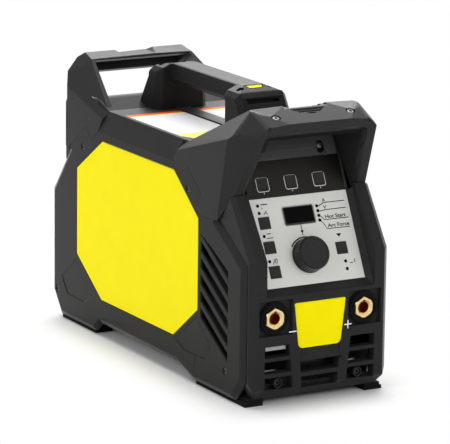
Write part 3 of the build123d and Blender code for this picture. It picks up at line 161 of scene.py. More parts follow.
middle_height = (0, 0, 0.15)
lamp("overhead", place=(0.1, 0.6, 2.4), aim=middle_height, size=(2.2, 2.0), power=50)
lamp("behind", place=(1.0, 1.7, 1.75), aim=(0, -0.1, 0.25), size=(1.5, 0.8), power=18)
lamp("left", place=(-2.6, -0.9, 1.3), aim=middle_height, size=(1.4, 1.6), power=21)
lamp("front", place=(0.5, -3.0, 1.6), aim=middle_height, size=(1.6, 1.0), power=25)


# The two side covers are injection mouldings of glass-filled nylon, black right through, with a
# fine spark-eroded grain. Their borders are rolled over, shallow panels are sunk in their lower
# corners, and a flange behind the face stiffens them.
def grained(name, colour, rough, grain=0.9, depth=0.05, gloss=0.05):
    """A moulded or rolled surface: the grain breaks up the gloss, and the tone drifts slowly.

    Grain and depth are in millimetres. The grain is drawn coarser than a real one, so that it shows.
    """
    cloud = 35.0
    spread = 0.16
    drift = 0.06
    grazing_gloss = 0.5
    material, tree, out = start_material(name)
    place = add(tree, "ShaderNodeTexCoord").outputs["Object"]
    fine = add(tree, "ShaderNodeTexNoise",
               {"Vector": place, "Scale": 1000 / grain, "Detail": 2.0, "Roughness": 0.6})
    wide = add(tree, "ShaderNodeTexNoise", {"Vector": place, "Scale": 1000 / cloud, "Detail": 3.0})
    base = linear(colour)
    low = [c * (1 - spread) for c in base[:3]] + [1.0]
    high = [min(1.0, c * (1 + spread)) for c in base[:3]] + [1.0]
    tone = add(tree, "ShaderNodeMix", {"Factor": wide.outputs[0], 6: low, 7: high}, data_type="RGBA")
    worn = add(tree, "ShaderNodeMapRange",
               {"Value": fine.outputs[0], "To Min": rough - drift, "To Max": rough + drift})
    relief = add(tree, "ShaderNodeBump",
                 {"Height": fine.outputs[0], "Strength": 0.35, "Distance": depth * mm})
    slant = add(tree, "ShaderNodeLayerWeight", {"Blend": 0.5, "Normal": relief.outputs[0]})
    shine = add(tree, "ShaderNodeMapRange", {
        "Value": slant.outputs["Facing"], "From Min": 0.55, "From Max": 0.8,
        "To Min": gloss, "To Max": gloss + grazing_gloss})
    finish = add(tree, "ShaderNodeBsdfPrincipled", {
        "Base Color": tone.outputs[2], "Roughness": worn.outputs[0],
        "Specular IOR Level": shine.outputs[0], "Normal": relief.outputs[0]})
    tree.links.new(finish.outputs[0], out.inputs["Surface"])
    return material


def only(thing):
    """Makes one object the only selected and active one."""
    bpy.ops.object.select_all(action="DESELECT")
    thing.select_set(True)
    bpy.context.view_layer.objects.active = thing


def merged_copy(node, name):
    """A copy of a CAD node with its loose triangles joined and every face shaded flat."""
    piece = bpy.data.objects.new(name, nodes[node].data.copy())
    scene.collection.objects.link(piece)
    only(piece)
    bpy.ops.mesh.customdata_custom_splitnormals_clear()
    bpy.ops.object.shade_flat()
    bpy.ops.object.mode_set(mode="EDIT")
    bpy.ops.mesh.select_all(action="SELECT")
    bpy.ops.mesh.remove_doubles(threshold=0.01 * mm)
    bpy.ops.object.mode_set(mode="OBJECT")
    return piece


def soften(piece, width, least=4.0, angle=16, segments=2, where=None, rise=-2):
    """Rounds the edges that are longer than least and sharper than angle.

    where picks them by the edge's middle in millimetres, and rise by how far both faces look up.
    """
    only(piece)
    bpy.ops.object.mode_set(mode="EDIT")
    bpy.ops.mesh.select_mode(type="EDGE")
    bpy.ops.mesh.select_all(action="DESELECT")
    mesh = bmesh.from_edit_mesh(piece.data)
    for edge in mesh.edges:
        if len(edge.link_faces) != 2 or edge.calc_length() < least * mm:
            continue
        middle = (edge.verts[0].co + edge.verts[1].co) / 2 / mm
        chosen = edge.calc_face_angle() > radians(angle) and (where is None or where(middle))
        chosen = chosen and all(face.normal.z > rise for face in edge.link_faces)
        edge.select_set(chosen)
    bmesh.update_edit_mesh(piece.data)
    bpy.ops.mesh.bevel(offset=width * mm, segments=segments, affect="EDGES", clamp_overlap=False)
    bpy.ops.object.mode_set(mode="OBJECT")


def stand_for(piece, material, slot, body="machine", *replaced):
    """Dresses a finished piece, gives it its body and hides the nodes it stands for; its slot is not used."""
    piece.data.materials.clear()
    piece.data.materials.append(material)
    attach(piece, body)
    if replaced:
        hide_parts(*replaced)
    return piece


def axes(x_axis, y_axis, origin=(0, 0, 0)):
    """A drawing plane: its two directions and its origin in millimetres."""
    x_axis = Vector(x_axis).normalized()
    y_axis = Vector(y_axis).normalized()
    turn = Matrix((x_axis, y_axis, x_axis.cross(y_axis))).transposed().to_4x4()
    return Matrix.Translation(Vector(origin) * mm) @ turn


def plate(name, loops, thick, plane, base=0.0):
    """A flat slab over closed outlines in millimetres, standing on its plane."""
    drawing = bpy.data.curves.new(name, "CURVE")
    drawing.dimensions = "2D"
    drawing.fill_mode = "BOTH"
    drawing.extrude = thick * mm / 2
    for loop in loops:
        line = drawing.splines.new("POLY")
        line.points.add(len(loop) - 1)
        for point, (x, y) in zip(line.points, loop):
            point.co = (x * mm, y * mm, 0, 1)
        line.use_cyclic_u = True
    piece = bpy.data.objects.new(name, drawing)
    scene.collection.objects.link(piece)
    only(piece)
    bpy.ops.object.convert(target="MESH")
    piece = bpy.context.object
    bpy.ops.object.mode_set(mode="EDIT")
    bpy.ops.mesh.select_all(action="SELECT")
    bpy.ops.mesh.remove_doubles(threshold=0.001 * mm)
    bpy.ops.mesh.normals_make_consistent(inside=False)
    bpy.ops.object.mode_set(mode="OBJECT")
    piece.data.transform(plane @ Matrix.Translation((0, 0, (base + thick / 2) * mm)))
    return piece


def carve(piece, tool):
    """Cuts a tool out of a piece and throws the tool away."""
    change = piece.modifiers.new("cut", "BOOLEAN")
    change.object = tool
    change.operation = "DIFFERENCE"
    change.solver = "EXACT"
    only(piece)
    bpy.ops.object.modifier_apply(modifier=change.name)
    bpy.data.objects.remove(tool)


def moved(piece, name, matrix):
    """The same piece again, put elsewhere or mirrored, with its own mesh."""
    copy = bpy.data.objects.new(name, piece.data.copy())
    scene.collection.objects.link(copy)
    copy.data.transform(matrix)
    if matrix.determinant() < 0:
        copy.data.flip_normals()
    return copy


nylon = grained("glass_filled_nylon", "#2A2A2A", 0.37)
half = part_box("side_cover_right")[1][0] / mm
right_side = axes((0, 1, 0), (0, 0, 1), (half, 0, 0))
cutter_height = 5
patch_depth = 0.7
rear_patch = [(171, 80), (207, 52), (192, 33), (149, 32.5), (131, 43.5)]
front_patch = [(-72, 42), (-91, 33.5), (-141.5, 34.5), (-154, 50), (-120, 78)]
cover = merged_copy("side_cover_right", "side_cover_right_moulding")
for patch in (rear_patch, front_patch):
    carve(cover, plate("patch_cutter", [patch], cutter_height, right_side, -patch_depth))


def chamfer(piece, corners, wide, deep):
    """Cuts a slope along a run of the right cover's outline, taken clockwise as seen from outside."""
    reach = 4.0
    outline = [(-wide, 0), (reach, -deep * (wide + reach) / wide), (reach, reach), (-wide, reach)]
    for start, end in zip(corners, corners[1:]):
        along = Vector((0, end[0] - start[0], end[1] - start[1]))
        outward = Vector((1, 0, 0)).cross(along)
        plane = axes(outward, (1, 0, 0), (half, *start))
        carve(piece, plate("edge_cutter", [outline], along.length + 2 * reach, plane, -reach))


front_edge = [(-203, 4), (-223, 29), (-223, 156), (-162.5, 194)]
rear_edge = [(189, 208), (232.5, 153), (232.5, 30), (212.5, 4)]
lower_edge = [(212.5, 4), (123.5, 4), (109.5, 16), (-71.5, 16), (-111.5, 4), (-203, 4)]
chamfer(cover, front_edge, wide=8.0, deep=4.0)
chamfer(cover, rear_edge, wide=7.0, deep=3.5)
chamfer(cover, lower_edge, wide=5.0, deep=3.0)
face_depth = 4
soften(cover, 0.7, least=5, where=lambda middle: middle.x > half - face_depth)
stand_for(cover, nylon, "black_moulding", "machine", "side_cover_right")
cover_left = moved(cover, "side_cover_left_moulding", Matrix.Scale(-1, 4, (1, 0, 0)))
stand_for(cover_left, nylon, "black_moulding", "machine", "side_cover_left")


# Each cover has two groups of cooling louvres. The slats belong to the moulding, and behind them
# sits a loose screen that closes the view into the case; its near-black is painted shade.
def dress(node, material):
    """Gives a CAD node a better material."""
    for slot in nodes[node].material_slots:
        slot.material = material


# The screen is coloured darker than the covers' nylon, as painted shade for the dark inside of the case.
dress("louvre_screens", grained("screen_nylon_painted_shade", "#101010", 0.6))


# A long badge is stuck in a shallow pocket of each cover: printed polyester film, yellow all over,
# cut to the pocket's slanted outline and slightly rolled over at its edge.
def printed(name, colour, rough=0.45, gloss=0.2, speck=0.05):
    """A printed film or label: even ink with faint clouds, and a pressed texture that dulls it.

    The texture is drawn coarser than a real one, so that it shows.
    """
    weave = 2.5
    cloud = 25.0
    material, tree, out = start_material(name)
    place = add(tree, "ShaderNodeTexCoord").outputs["Object"]
    cells = add(tree, "ShaderNodeTexVoronoi", {"Vector": place, "Scale": 1000 / weave})
    clouds = add(tree, "ShaderNodeTexNoise", {"Vector": place, "Scale": 1000 / cloud, "Detail": 4.0})
    base = linear(colour)
    low = [c * (1 - speck) for c in base[:3]] + [1.0]
    tone = add(tree, "ShaderNodeMix", {"Factor": clouds.outputs[0], 6: low, 7: base}, data_type="RGBA")
    relief = add(tree, "ShaderNodeBump",
                 {"Height": cells.outputs[0], "Strength": 0.15, "Distance": 0.02 * mm})
    finish = add(tree, "ShaderNodeBsdfPrincipled", {
        "Base Color": tone.outputs[2], "Roughness": rough, "Specular IOR Level": gloss,
        "Normal": relief.outputs[0]})
    tree.links.new(finish.outputs[0], out.inputs["Surface"])
    return material


yellow_print = printed("yellow_print", "#FFF000", gloss=0.04)
badge = merged_copy("side_badges", "side_badge_pair")
soften(badge, 0.3, least=8)
stand_for(badge, yellow_print, "yellow_inlay", "machine", "side_badges")


# The covers are held by four button-head screws each, zinc-plated steel with a hexagon socket,
# coloured darker than the bright zinc as painted shade. Their heads sit in shallow counterbores.
def metal(name, colour, rough=0.3, grain=0.6, dirt=0.3):
    """A metal: its turned or rolled grain breaks up the highlights, and dull patches soften them.

    The grain is in millimetres, and is drawn coarser than a real one, so that it shows.
    """
    patch = 8.333
    material, tree, out = start_material(name)
    place = add(tree, "ShaderNodeTexCoord").outputs["Object"]
    fine = add(tree, "ShaderNodeTexNoise", {"Vector": place, "Scale": 1000 / grain, "Detail": 3.0})
    wide = add(tree, "ShaderNodeTexNoise", {"Vector": place, "Scale": 1000 / patch, "Detail": 3.0})
    base = linear(colour)
    low = [c * (1 - dirt) for c in base[:3]] + [1.0]
    tone = add(tree, "ShaderNodeMix", {"Factor": wide.outputs[0], 6: low, 7: base}, data_type="RGBA")
    worn = add(tree, "ShaderNodeMapRange",
               {"Value": wide.outputs[0], "To Min": rough + 0.12, "To Max": rough - 0.06})
    relief = add(tree, "ShaderNodeBump",
                 {"Height": fine.outputs[0], "Strength": 0.25, "Distance": 0.03 * mm})
    finish = add(tree, "ShaderNodeBsdfPrincipled", {
        "Base Color": tone.outputs[2], "Roughness": worn.outputs[0], "Metallic": 1.0,
        "Normal": relief.outputs[0]})
    tree.links.new(finish.outputs[0], out.inputs["Surface"])
    return material


def lathe(name, rings, steps=48):
    """Stacks rings of radius and height in millimetres into a closed body round the z axis."""
    bpy.ops.object.select_all(action="DESELECT")
    radius, height = rings[0]
    bpy.ops.mesh.primitive_circle_add(vertices=steps, radius=radius * mm, fill_type="NGON",
                                      location=(0, 0, height * mm))
    piece = bpy.context.object
    piece.name = name
    bpy.ops.object.mode_set(mode="EDIT")
    bpy.ops.mesh.select_all(action="SELECT")
    for wide, high in rings[1:]:
        bpy.ops.mesh.extrude_region_move(TRANSFORM_OT_translate={"value": (0, 0, (high - height) * mm)})
        bpy.ops.transform.resize(value=(wide / radius, wide / radius, 1))
        radius, height = wide, high
    bpy.ops.mesh.select_all(action="SELECT")
    bpy.ops.mesh.normals_make_consistent(inside=False)
    bpy.ops.object.mode_set(mode="OBJECT")
    bpy.ops.object.transform_apply(location=True, rotation=True, scale=True)
    return piece


def smooth(piece, angle=48):
    """Smooth shading over the small rounds, flat over the big faces."""
    only(piece)
    bpy.ops.object.shade_smooth_by_angle(angle=radians(angle))
    change = piece.modifiers.new("weights", "WEIGHTED_NORMAL")
    change.keep_sharp = True
    bpy.ops.object.modifier_apply(modifier=change.name)


def socket_screw(name, radius, height, length, hexagon):
    """A button-head screw with a hexagon socket, its head's underside at the origin."""
    shank = min(1.9, radius - 0.8)
    socket_floor = -0.6
    rings = [(shank, -length), (shank, 0), (radius, 0), (radius, height * 0.4),
             (radius * 0.93, height * 0.75), (radius * 0.7, height)]
    screw = lathe(name, rings)
    carve(screw, lathe("hexagon_cutter", [(hexagon, socket_floor), (hexagon, height + 1)], 6))
    smooth(screw, 35)
    return screw


def solids_of(node):
    """The boxes of a CAD node's separate solids: lowest and highest corner in millimetres."""
    mesh = bmesh.new()
    mesh.from_mesh(nodes[node].data)
    bmesh.ops.remove_doubles(mesh, verts=mesh.verts, dist=0.01 * mm)
    mesh.verts.ensure_lookup_table()
    seen = set()
    boxes = []
    for start in mesh.verts:
        if start in seen:
            continue
        group = [start]
        seen.add(start)
        for vert in group:
            for edge in vert.link_edges:
                other = edge.other_vert(vert)
                if other not in seen:
                    seen.add(other)
                    group.append(other)
        spans = [[vert.co[i] / mm for vert in group] for i in range(3)]
        boxes.append((Vector([min(s) for s in spans]), Vector([max(s) for s in spans])))
    mesh.free()
    return boxes


def joined(name, pieces):
    """One piece out of several."""
    bpy.ops.object.select_all(action="DESELECT")
    for piece in pieces:
        piece.select_set(True)
    bpy.context.view_layer.objects.active = pieces[0]
    bpy.ops.object.join()
    pieces[0].name = name
    return pieces[0]


bright_zinc = metal("bright_zinc", "#9DA0A4", 0.36)
# A darker copy of the bright zinc: painted shade for the side screws in their counterbores.
screw_zinc_painted_shade = metal("screw_zinc_painted_shade", "#63666A", 0.42)
side_head = 1.6
model = socket_screw("side_screw", radius=3.5, height=side_head, length=11.4, hexagon=2.2)
copies = []
for low, high in solids_of("side_screws"):
    side = 1 if high.x > 0 else -1
    face_x = high.x if side > 0 else low.x
    head_place = (face_x - side * side_head, (low.y + high.y) / 2, (low.z + high.z) / 2)
    copies.append(moved(model, "side_screw", axes((0, side, 0), (0, 0, 1), head_place)))
bpy.data.objects.remove(model)
stand_for(joined("side_screw_set", copies), screw_zinc_painted_shade, "zinc_steel", "machine", "side_screws")


# The front bezel is one black moulding: the socket pockets and the cooling grille at the foot, and
# two cheeks that run up beside the sloping panel. All its edges are rounded by the mould.
bezel = merged_copy("front_bezel", "front_bezel_moulding")
bezel_back = -160
soften(bezel, 0.8, least=2.5, where=lambda middle: middle.y < bezel_back)
bezel_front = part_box("front_bezel")[0].y
for vertex in bezel.data.vertices:
    vertex.co.y = max(vertex.co.y, bezel_front)
stand_for(bezel, nylon, "black_moulding", "machine", "front_bezel")


# A yellow plate with clipped lower corners sits in the bezel between the sockets. It is the same
# printed film as the side badges on a carrier, and is left blank, like the small black plate above.
front_plate = merged_copy("front_badge", "front_badge_plate")
plate_face = -230.3
soften(front_plate, 1.6, least=1, where=lambda middle: abs(middle.y - plate_face) < 0.6)
stand_for(front_plate, yellow_print, "yellow_inlay", "machine", "front_badge")
gloss_black = printed("gloss_black_plate", "#0C0C0C", rough=0.22, gloss=0.5)
dress("name_plate", printed("plaque_black", "#050505", rough=0.6, gloss=0.0))


# The polarity marks are pad-printed in white ink straight on the bezel, a minus to the left of the
# yellow plate and a plus to its right, beside the socket that each stands for.
def bars(name, boxes, thick, plane, base):
    """Flat bars: each box is x0, y0, x1, y1 in millimetres on the plane."""
    loops = [[(x0, y0), (x1, y0), (x1, y1), (x0, y1)] for x0, y0, x1, y1 in boxes]
    return plate(name, loops, thick, plane, base)


white_print = printed("white_print", "#F2F2F0", rough=0.5, gloss=0.3)
front_y = bezel_front / mm
front_plane = axes((1, 0, 0), (0, 0, 1), (0, front_y, 0))
mark_x = 34.5
mark_z = 81.0
mark_half = 4.6
mark_line = 0.65
mark_thick = 0.04
dash = (-mark_x - mark_half, mark_z - mark_line, -mark_x + mark_half, mark_z + mark_line)
stand_for(bars("minus_mark", [dash], mark_thick, front_plane, 0), white_print, "label_sheet")
cross = []
for quarter in range(4):
    for across, up in ((mark_half, -mark_line), (mark_half, mark_line), (mark_line, mark_line)):
        for _ in range(quarter):
            across, up = -up, across
        cross.append((mark_x + across, mark_z + up))
stand_for(plate("plus_mark", [cross], mark_thick, front_plane), white_print, "label_sheet")


# The hood is a single thick moulding: a roof over the panel and two arms that reach down to the
# covers. Facets blend its upper corners, a sloping lip runs round the window, and two screws hold it.
hood_nylon = grained("hood_nylon", "#2C2C2C", 0.35, grain=1.1, depth=0.07)
hood = merged_copy("front_hood", "front_hood_moulding")
roof_tilt = 12.5 / 37.5
lip_y, lip_z = -226.0, 305.5
roof_plane = axes((1, 0, 0), (0, 1, roof_tilt), (0, lip_y, lip_z))
finger_slots = ((27.5, 30.5, 18.5, 20.5), (23, 25.6, 13.5, 15.5), (19.2, 21.2, 5, 6.5))
slot_depth = 1.6
for low_y, high_y, low_half, high_half in finger_slots:
    wedge = [(-low_half, low_y), (low_half, low_y), (high_half, high_y), (-high_half, high_y)]
    carve(hood, plate("wedge_cutter", [wedge], cutter_height, roof_plane, -slot_depth))
roof_spots = []
for low, high in solids_of("hood_screws"):
    x, y, _ = (low + high) / 2
    roof_spots.append(axes((1, 0, 0), (0, 1, roof_tilt), (x, y, lip_z + (y - lip_y) * roof_tilt)))
sink_radius = 5.4
sink_depth = 1.9
for spot in roof_spots:
    sink = lathe("counterbore", [(sink_radius, -sink_depth), (sink_radius, 8)])
    sink.data.transform(spot)
    carve(hood, sink)


def circle(x, y, radius, count=24, start=0.0, end=2 * pi):
    """Points along a circle or an arc of it."""
    steps = count if end - start >= 2 * pi else count - 1
    turns = [start + (end - start) * k / steps for k in range(count)]
    return [(x + radius * cos(turn), y + radius * sin(turn)) for turn in turns]


def funnel(name, wide_loop, narrow_loop, depth, plane):
    """A cutter that narrows from one outline at its plane to another at a depth."""
    piece = plate(name, [wide_loop], depth, Matrix.Identity(4), -depth)
    for vertex in piece.data.vertices:
        if vertex.co.z < -depth * mm / 2:
            x, y, _ = vertex.co / mm
            gaps = [hypot(x - wide[0], y - wide[1]) for wide in wide_loop]
            narrow = narrow_loop[gaps.index(min(gaps))]
            vertex.co.x = narrow[0] * mm
            vertex.co.y = narrow[1] * mm
    piece.data.transform(plane)
    return piece


arm_y, arm_z = -186.5, 225.5
face_rise = Vector((0, lip_y - arm_y, lip_z - arm_z))
face_plane = axes((1, 0, 0), face_rise, (0, lip_y, lip_z))
brow_height = 15.0
window_top = -brow_height * face_rise.length / face_rise.z
window_foot = -face_rise.length - 20
top_half = 58.0
arm_spread = 9.5
foot_half = top_half + arm_spread * (window_top - window_foot) / (window_top + face_rise.length)
lip_width = 5.5
lip_depth = 3.5


def window_outline(grow, radius):
    """The hood's window on its sloping face, with rounded upper corners."""
    top = window_top + grow
    corner = circle(top_half + grow - radius, top - radius, radius, 6, 0, pi / 2)
    right = [(foot_half + grow, window_foot)] + corner
    return right + [(-x, y) for x, y in reversed(right)]


lip_edge = window_outline(lip_width, 9.0)
carve(hood, funnel("lip_cutter", lip_edge, window_outline(0, 3.0), lip_depth, face_plane))
corner_half = 56
corner_foot = 262
corner_rear = -150
brow_y = -219


def on_corner(middle):
    """The facets that blend the roof into the arms."""
    return abs(middle.x) > corner_half and middle.z > corner_foot and middle.y < corner_rear


soften(hood, 5, least=22, angle=9, segments=4, rise=0.03,
       where=lambda middle: on_corner(middle) and middle.y > brow_y)
soften(hood, 0.7, least=3, where=lambda middle: not on_corner(middle))
stand_for(hood, hood_nylon, "black_moulding", "machine", "front_hood")
dress("hood_liner", grained("liner_nylon", "#171717", 0.6))
dull_zinc = metal("dull_zinc", "#75787B", 0.42)
roof_head = 1.6
model = socket_screw("hood_screw", radius=3.9, height=roof_head, length=8.0, hexagon=2.1)
sunk = Matrix.Translation((0, 0, -sink_depth * mm))
copies = [moved(model, "hood_screw", spot @ sunk) for spot in roof_spots]
bpy.data.objects.remove(model)
stand_for(joined("hood_screw_pair", copies), dull_zinc, "zinc_steel", "machine", "hood_screws")


# The panel housing is a black tray behind the fascia. Its upper strip is textured and steps back
# towards the middle, with a round-ended pocket for the screw that holds the tray. A near-black
# patch laid on the pocket's floor is painted shade.
tilt = radians(26.3)
fascia_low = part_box("panel_fascia")[0] / mm
overlay = 1.2
panel_foot = (0, fascia_low.y, fascia_low.z + overlay * sin(tilt))
panel = axes((1, 0, 0), (0, sin(tilt), cos(tilt)), panel_foot)
panel_back = panel.inverted()


def on_panel(point):
    """A point in millimetres as the panel's own x, height and depth."""
    return panel_back @ (point * mm) / mm


strip_face = 3.0
step_depth = 0.8
housing = merged_copy("panel_housing", "panel_housing_tray")
strip_step = [(-62, 130), (62, 130), (62, 139.7), (31, 139.7), (30, 148), (-31, 148), (-31.5, 150),
              (-62, 150)]
carve(housing, plate("strip_cutter", [strip_step], cutter_height, panel, strip_face - step_depth))
soften(housing, 0.5, least=3, where=lambda middle: on_panel(middle).z > 0.3)
pocket_x, pocket_s = 39.8, 150.5
pocket_radius = 4.7
pocket_floor = 1.02
pocket_outline = (circle(pocket_x, pocket_s + 6.5, pocket_radius, 10, 0, pi)
                  + circle(pocket_x, pocket_s - 4, pocket_radius, 10, pi, 2 * pi))
# A near-black patch on the pocket's floor: painted shade for the deep pocket.
pocket_shade = plate("pocket_shade_patch", [pocket_outline], 0.1, panel, pocket_floor)
stand_for(pocket_shade, grained("pocket_painted_shade", "#0A0A0A", 0.6), "black_moulding")
tray_nylon = grained("tray_nylon", "#4C4C4C", 0.5, grain=1.6, depth=0.25)
stand_for(housing, tray_nylon, "black_moulding", "machine", "panel_housing")


# The fascia is a silver polycarbonate sheet with black print on it: a lead line from each lamp to
# its function word, an arc round the knob and small symbols beside the keys.
def flaked(name, colour, rough):
    """Silver screen ink: tiny flakes, drawn coarser than real ones, glint in a satin film."""
    flake = 0.2857
    cloud = 33.33
    drift = 0.05
    material, tree, out = start_material(name)
    place = add(tree, "ShaderNodeTexCoord").outputs["Object"]
    flakes = add(tree, "ShaderNodeTexVoronoi", {"Vector": place, "Scale": 1000 / flake})
    clouds = add(tree, "ShaderNodeTexNoise", {"Vector": place, "Scale": 1000 / cloud, "Detail": 3.0})
    base = linear(colour)
    low = [c * 0.93 for c in base[:3]] + [1.0]
    glints = add(tree, "ShaderNodeMapRange", {"Value": flakes.outputs["Color"], "To Min": 0.0, "To Max": 0.6})
    both = add(tree, "ShaderNodeMath", {0: glints.outputs[0], 1: clouds.outputs[0]}, operation="MULTIPLY")
    tone = add(tree, "ShaderNodeMix", {"Factor": both.outputs[0], 6: base, 7: low}, data_type="RGBA")
    worn = add(tree, "ShaderNodeMapRange",
               {"Value": clouds.outputs[0], "To Min": rough - drift, "To Max": rough + drift})
    finish = add(tree, "ShaderNodeBsdfPrincipled", {
        "Base Color": tone.outputs[2], "Roughness": worn.outputs[0], "Metallic": 0.1,
        "Specular IOR Level": 0.3})
    tree.links.new(finish.outputs[0], out.inputs["Surface"])
    return material


dress("panel_fascia", flaked("silver_ink", "#D6D6D1", 0.42))
ink_thick = 0.08
line_width = 0.95
arc_width = 1.6


def drawn(name, paths, width, closed=False):
    """Printed lines along paths in millimetres on the panel."""
    curve = bpy.data.curves.new(name, "CURVE")
    curve.dimensions = "3D"
    curve.bevel_depth = width * mm / 2
    curve.bevel_resolution = 1
    curve.use_fill_caps = True
    for path in paths:
        line = curve.splines.new("POLY")
        line.points.add(len(path) - 1)
        for point, (x, y) in zip(line.points, path):
            point.co = (x * mm, y * mm, 0, 1)
        line.use_cyclic_u = closed
    piece = bpy.data.objects.new(name, curve)
    scene.collection.objects.link(piece)
    only(piece)
    bpy.ops.object.convert(target="MESH")
    piece = bpy.context.object
    piece.data.transform(panel @ Matrix.Scale(2 * ink_thick / width, 4, (0, 0, 1)))
    return piece


def lettering(name, words, x0, x1, s0, s1):
    """A function word, fitted between its corners on the panel."""
    bolder = 0.022
    bpy.ops.object.select_all(action="DESELECT")
    bpy.ops.object.text_add()
    piece = bpy.context.object
    piece.data.body = words
    piece.data.extrude = 0.02
    piece.data.offset = bolder
    bpy.ops.object.convert(target="MESH")
    piece = bpy.context.object
    piece.name = name
    low = [min(v.co[i] for v in piece.data.vertices) for i in range(3)]
    high = [max(v.co[i] for v in piece.data.vertices) for i in range(3)]
    wide = (x1 - x0) * mm / (high[0] - low[0])
    tall = (s1 - s0) * mm / (high[1] - low[1])
    flat = ink_thick * mm / (high[2] - low[2])
    move = Matrix.Translation((x0 * mm - low[0] * wide, s0 * mm - low[1] * tall, ink_thick * mm / 2))
    piece.data.transform(panel @ move @ Matrix.Diagonal((wide, tall, flat, 1)))
    return piece


lamp_leads = [[(21, 83.6), (24, 84.2), (29.7, 87.1), (56.2, 87.0)],
              [(21.6, 78.1), (24.4, 78.2), (29.8, 79), (56.3, 79.1)],
              [(22, 72.9), (24.2, 71.3), (26.5, 68.1), (56.7, 68)],
              [(21.8, 67.7), (24.2, 64.6), (27.5, 57.9), (56.2, 57.7)]]
dial_lead = [[(-4, 66), (-4, 54)]]
left_lines = [[(-48.4, 59.8), (-42.7, 59.8)], [(-48.5, 55), (-40.5, 55)]]
upper_tick = [[(-46.9, 89), (-46.6, 87.3)]]
lower_left_mark = [[(-47.4, 26), (-45.6, 30.6), (-43, 32), (-41.6, 30.4), (-43.4, 26.2)],
                   [(-45.4, 27.5), (-43.6, 30.4)]]
lower_right_mark = [[(52.7, 22), (52.3, 17.4)], [(46, 17.6), (50, 17.6)]]
lines = lamp_leads + dial_lead + left_lines + upper_tick + lower_left_mark + lower_right_mark
select_arrow = [(36.6, 51.4), (39.9, 47.6), (43.4, 51.4)]
dial_diamond = [(-6, 58.6), (-4, 56.6), (-2, 58.6), (-4, 60.6)]
upper_bar = [(-47.8, 91.6), (-39.5, 91.6), (-39.5, 92.8), (-47.8, 92.8)]
electrode_stroke = [(-46.6, 81.2), (-45.4, 81.2), (-41.4, 85.2), (-42.6, 85.2)]
electrode_tip = [(-43.6, 82.4), (-41.2, 81), (-41.2, 82), (-43.2, 83.2)]
solid_marks = [select_arrow, dial_diamond, upper_bar, electrode_stroke, electrode_tip]
knob_low, knob_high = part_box("control_knob")
knob_place = ((knob_low.x + knob_high.x) / 2 / mm, 31.0)
arc = circle(*knob_place, 20.8, 24, radians(58), radians(146))
marks = [plate("pointer_marks", solid_marks, ink_thick, panel), drawn("lead_lines", lines, line_width),
         drawn("knob_arc", [arc], arc_width), lettering("word_a", "A", 28.5, 32.4, 88, 92),
         lettering("word_v", "V", 28.3, 32, 80, 83.9),
         lettering("word_hot", "Hot Start", 28.1, 54, 69.2, 73.5),
         lettering("word_arc", "Arc Force", 28.8, 56, 59.2, 63.5)]
stand_for(joined("fascia_print", marks), printed("black_ink", "#0B0B0B", rough=0.5, gloss=0.05), "black_film")


# Above it a dark smoked film carries the three memory keys. Each key has a pale rounded frame
# printed round it, with a small tick below.
def rounded(x0, x1, y0, y1, radius, count=5):
    """A rectangle with rounded corners."""
    left, right, low, high = x0 + radius, x1 - radius, y0 + radius, y1 - radius
    points = []
    for turn, (x, y) in enumerate(((right, high), (left, high), (left, low), (right, low))):
        points += circle(x, y, radius, count, turn * pi / 2, (turn + 1) * pi / 2)
    return points


dress("panel_film", printed("smoked_film", "#14110C", rough=0.3, gloss=0.16, speck=0.2))
key_nodes = {"button_top_left": "key_top_left", "button_top_middle": "key_top_middle",
             "button_top_right": "key_top_right", "button_process": "key_process", "button_mode": "key_mode",
             "button_arc": "key_arc", "button_select": "key_select"}
key_centres = {}
for node in key_nodes:
    low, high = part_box(node)
    local = on_panel((low + high) / 2 / mm)
    key_centres[node] = (local.x, local.y)
film_foot = 100
top_keys = [place for place in key_centres.values() if place[1] > film_foot]
frame_half, frame_drop, frame_rise, frame_radius = 7.3, 8.2, 7.1, 2.4
frame_lines = [rounded(x - frame_half, x + frame_half, s - frame_drop, s + frame_rise, frame_radius)
               for x, s in top_keys]
tick_top, tick_foot = 9.4, 11
ticks = [[(x, s - tick_top), (x, s - tick_foot)] for x, s in top_keys]
frames = [drawn("frame_lines", frame_lines, line_width, closed=True), drawn("frame_ticks", ticks, 0.9)]
pale_ink = printed("pale_ink", "#DEDEDA", rough=0.5, gloss=0.2)
stand_for(joined("key_frame_print", frames), pale_ink, "label_sheet")


# The display looks out of a rounded black mask, ringed by a thin grey line that is painted shadow
# at its edge. Its window is smoked acrylic over a dark module, and the lamps are small lenses of
# the same acrylic.
mask_edge = rounded(-22.9, 15.4, 66.6, 86.6, 1.8)
mask_opening = rounded(-21.4, 14.2, 68.0, 85.4, 1.2)
mask_outline = rounded(-23.7, 16.2, 65.9, 87.4, 2.2)
mask_thick = 0.5
outline_width = 0.5
mask = plate("display_mask", [mask_edge, mask_opening], mask_thick, panel)
soften(mask, 0.15, least=0.2, angle=60, segments=1)
smooth(mask)
stand_for(mask, gloss_black, "black_film")
# The thin grey ring round the mask is painted shadow.
outline = drawn("display_shadow_ring", [mask_outline], outline_width, closed=True)
stand_for(outline, printed("grey_painted_shadow", "#8A8A88", rough=0.4, gloss=0.3), "label_sheet")


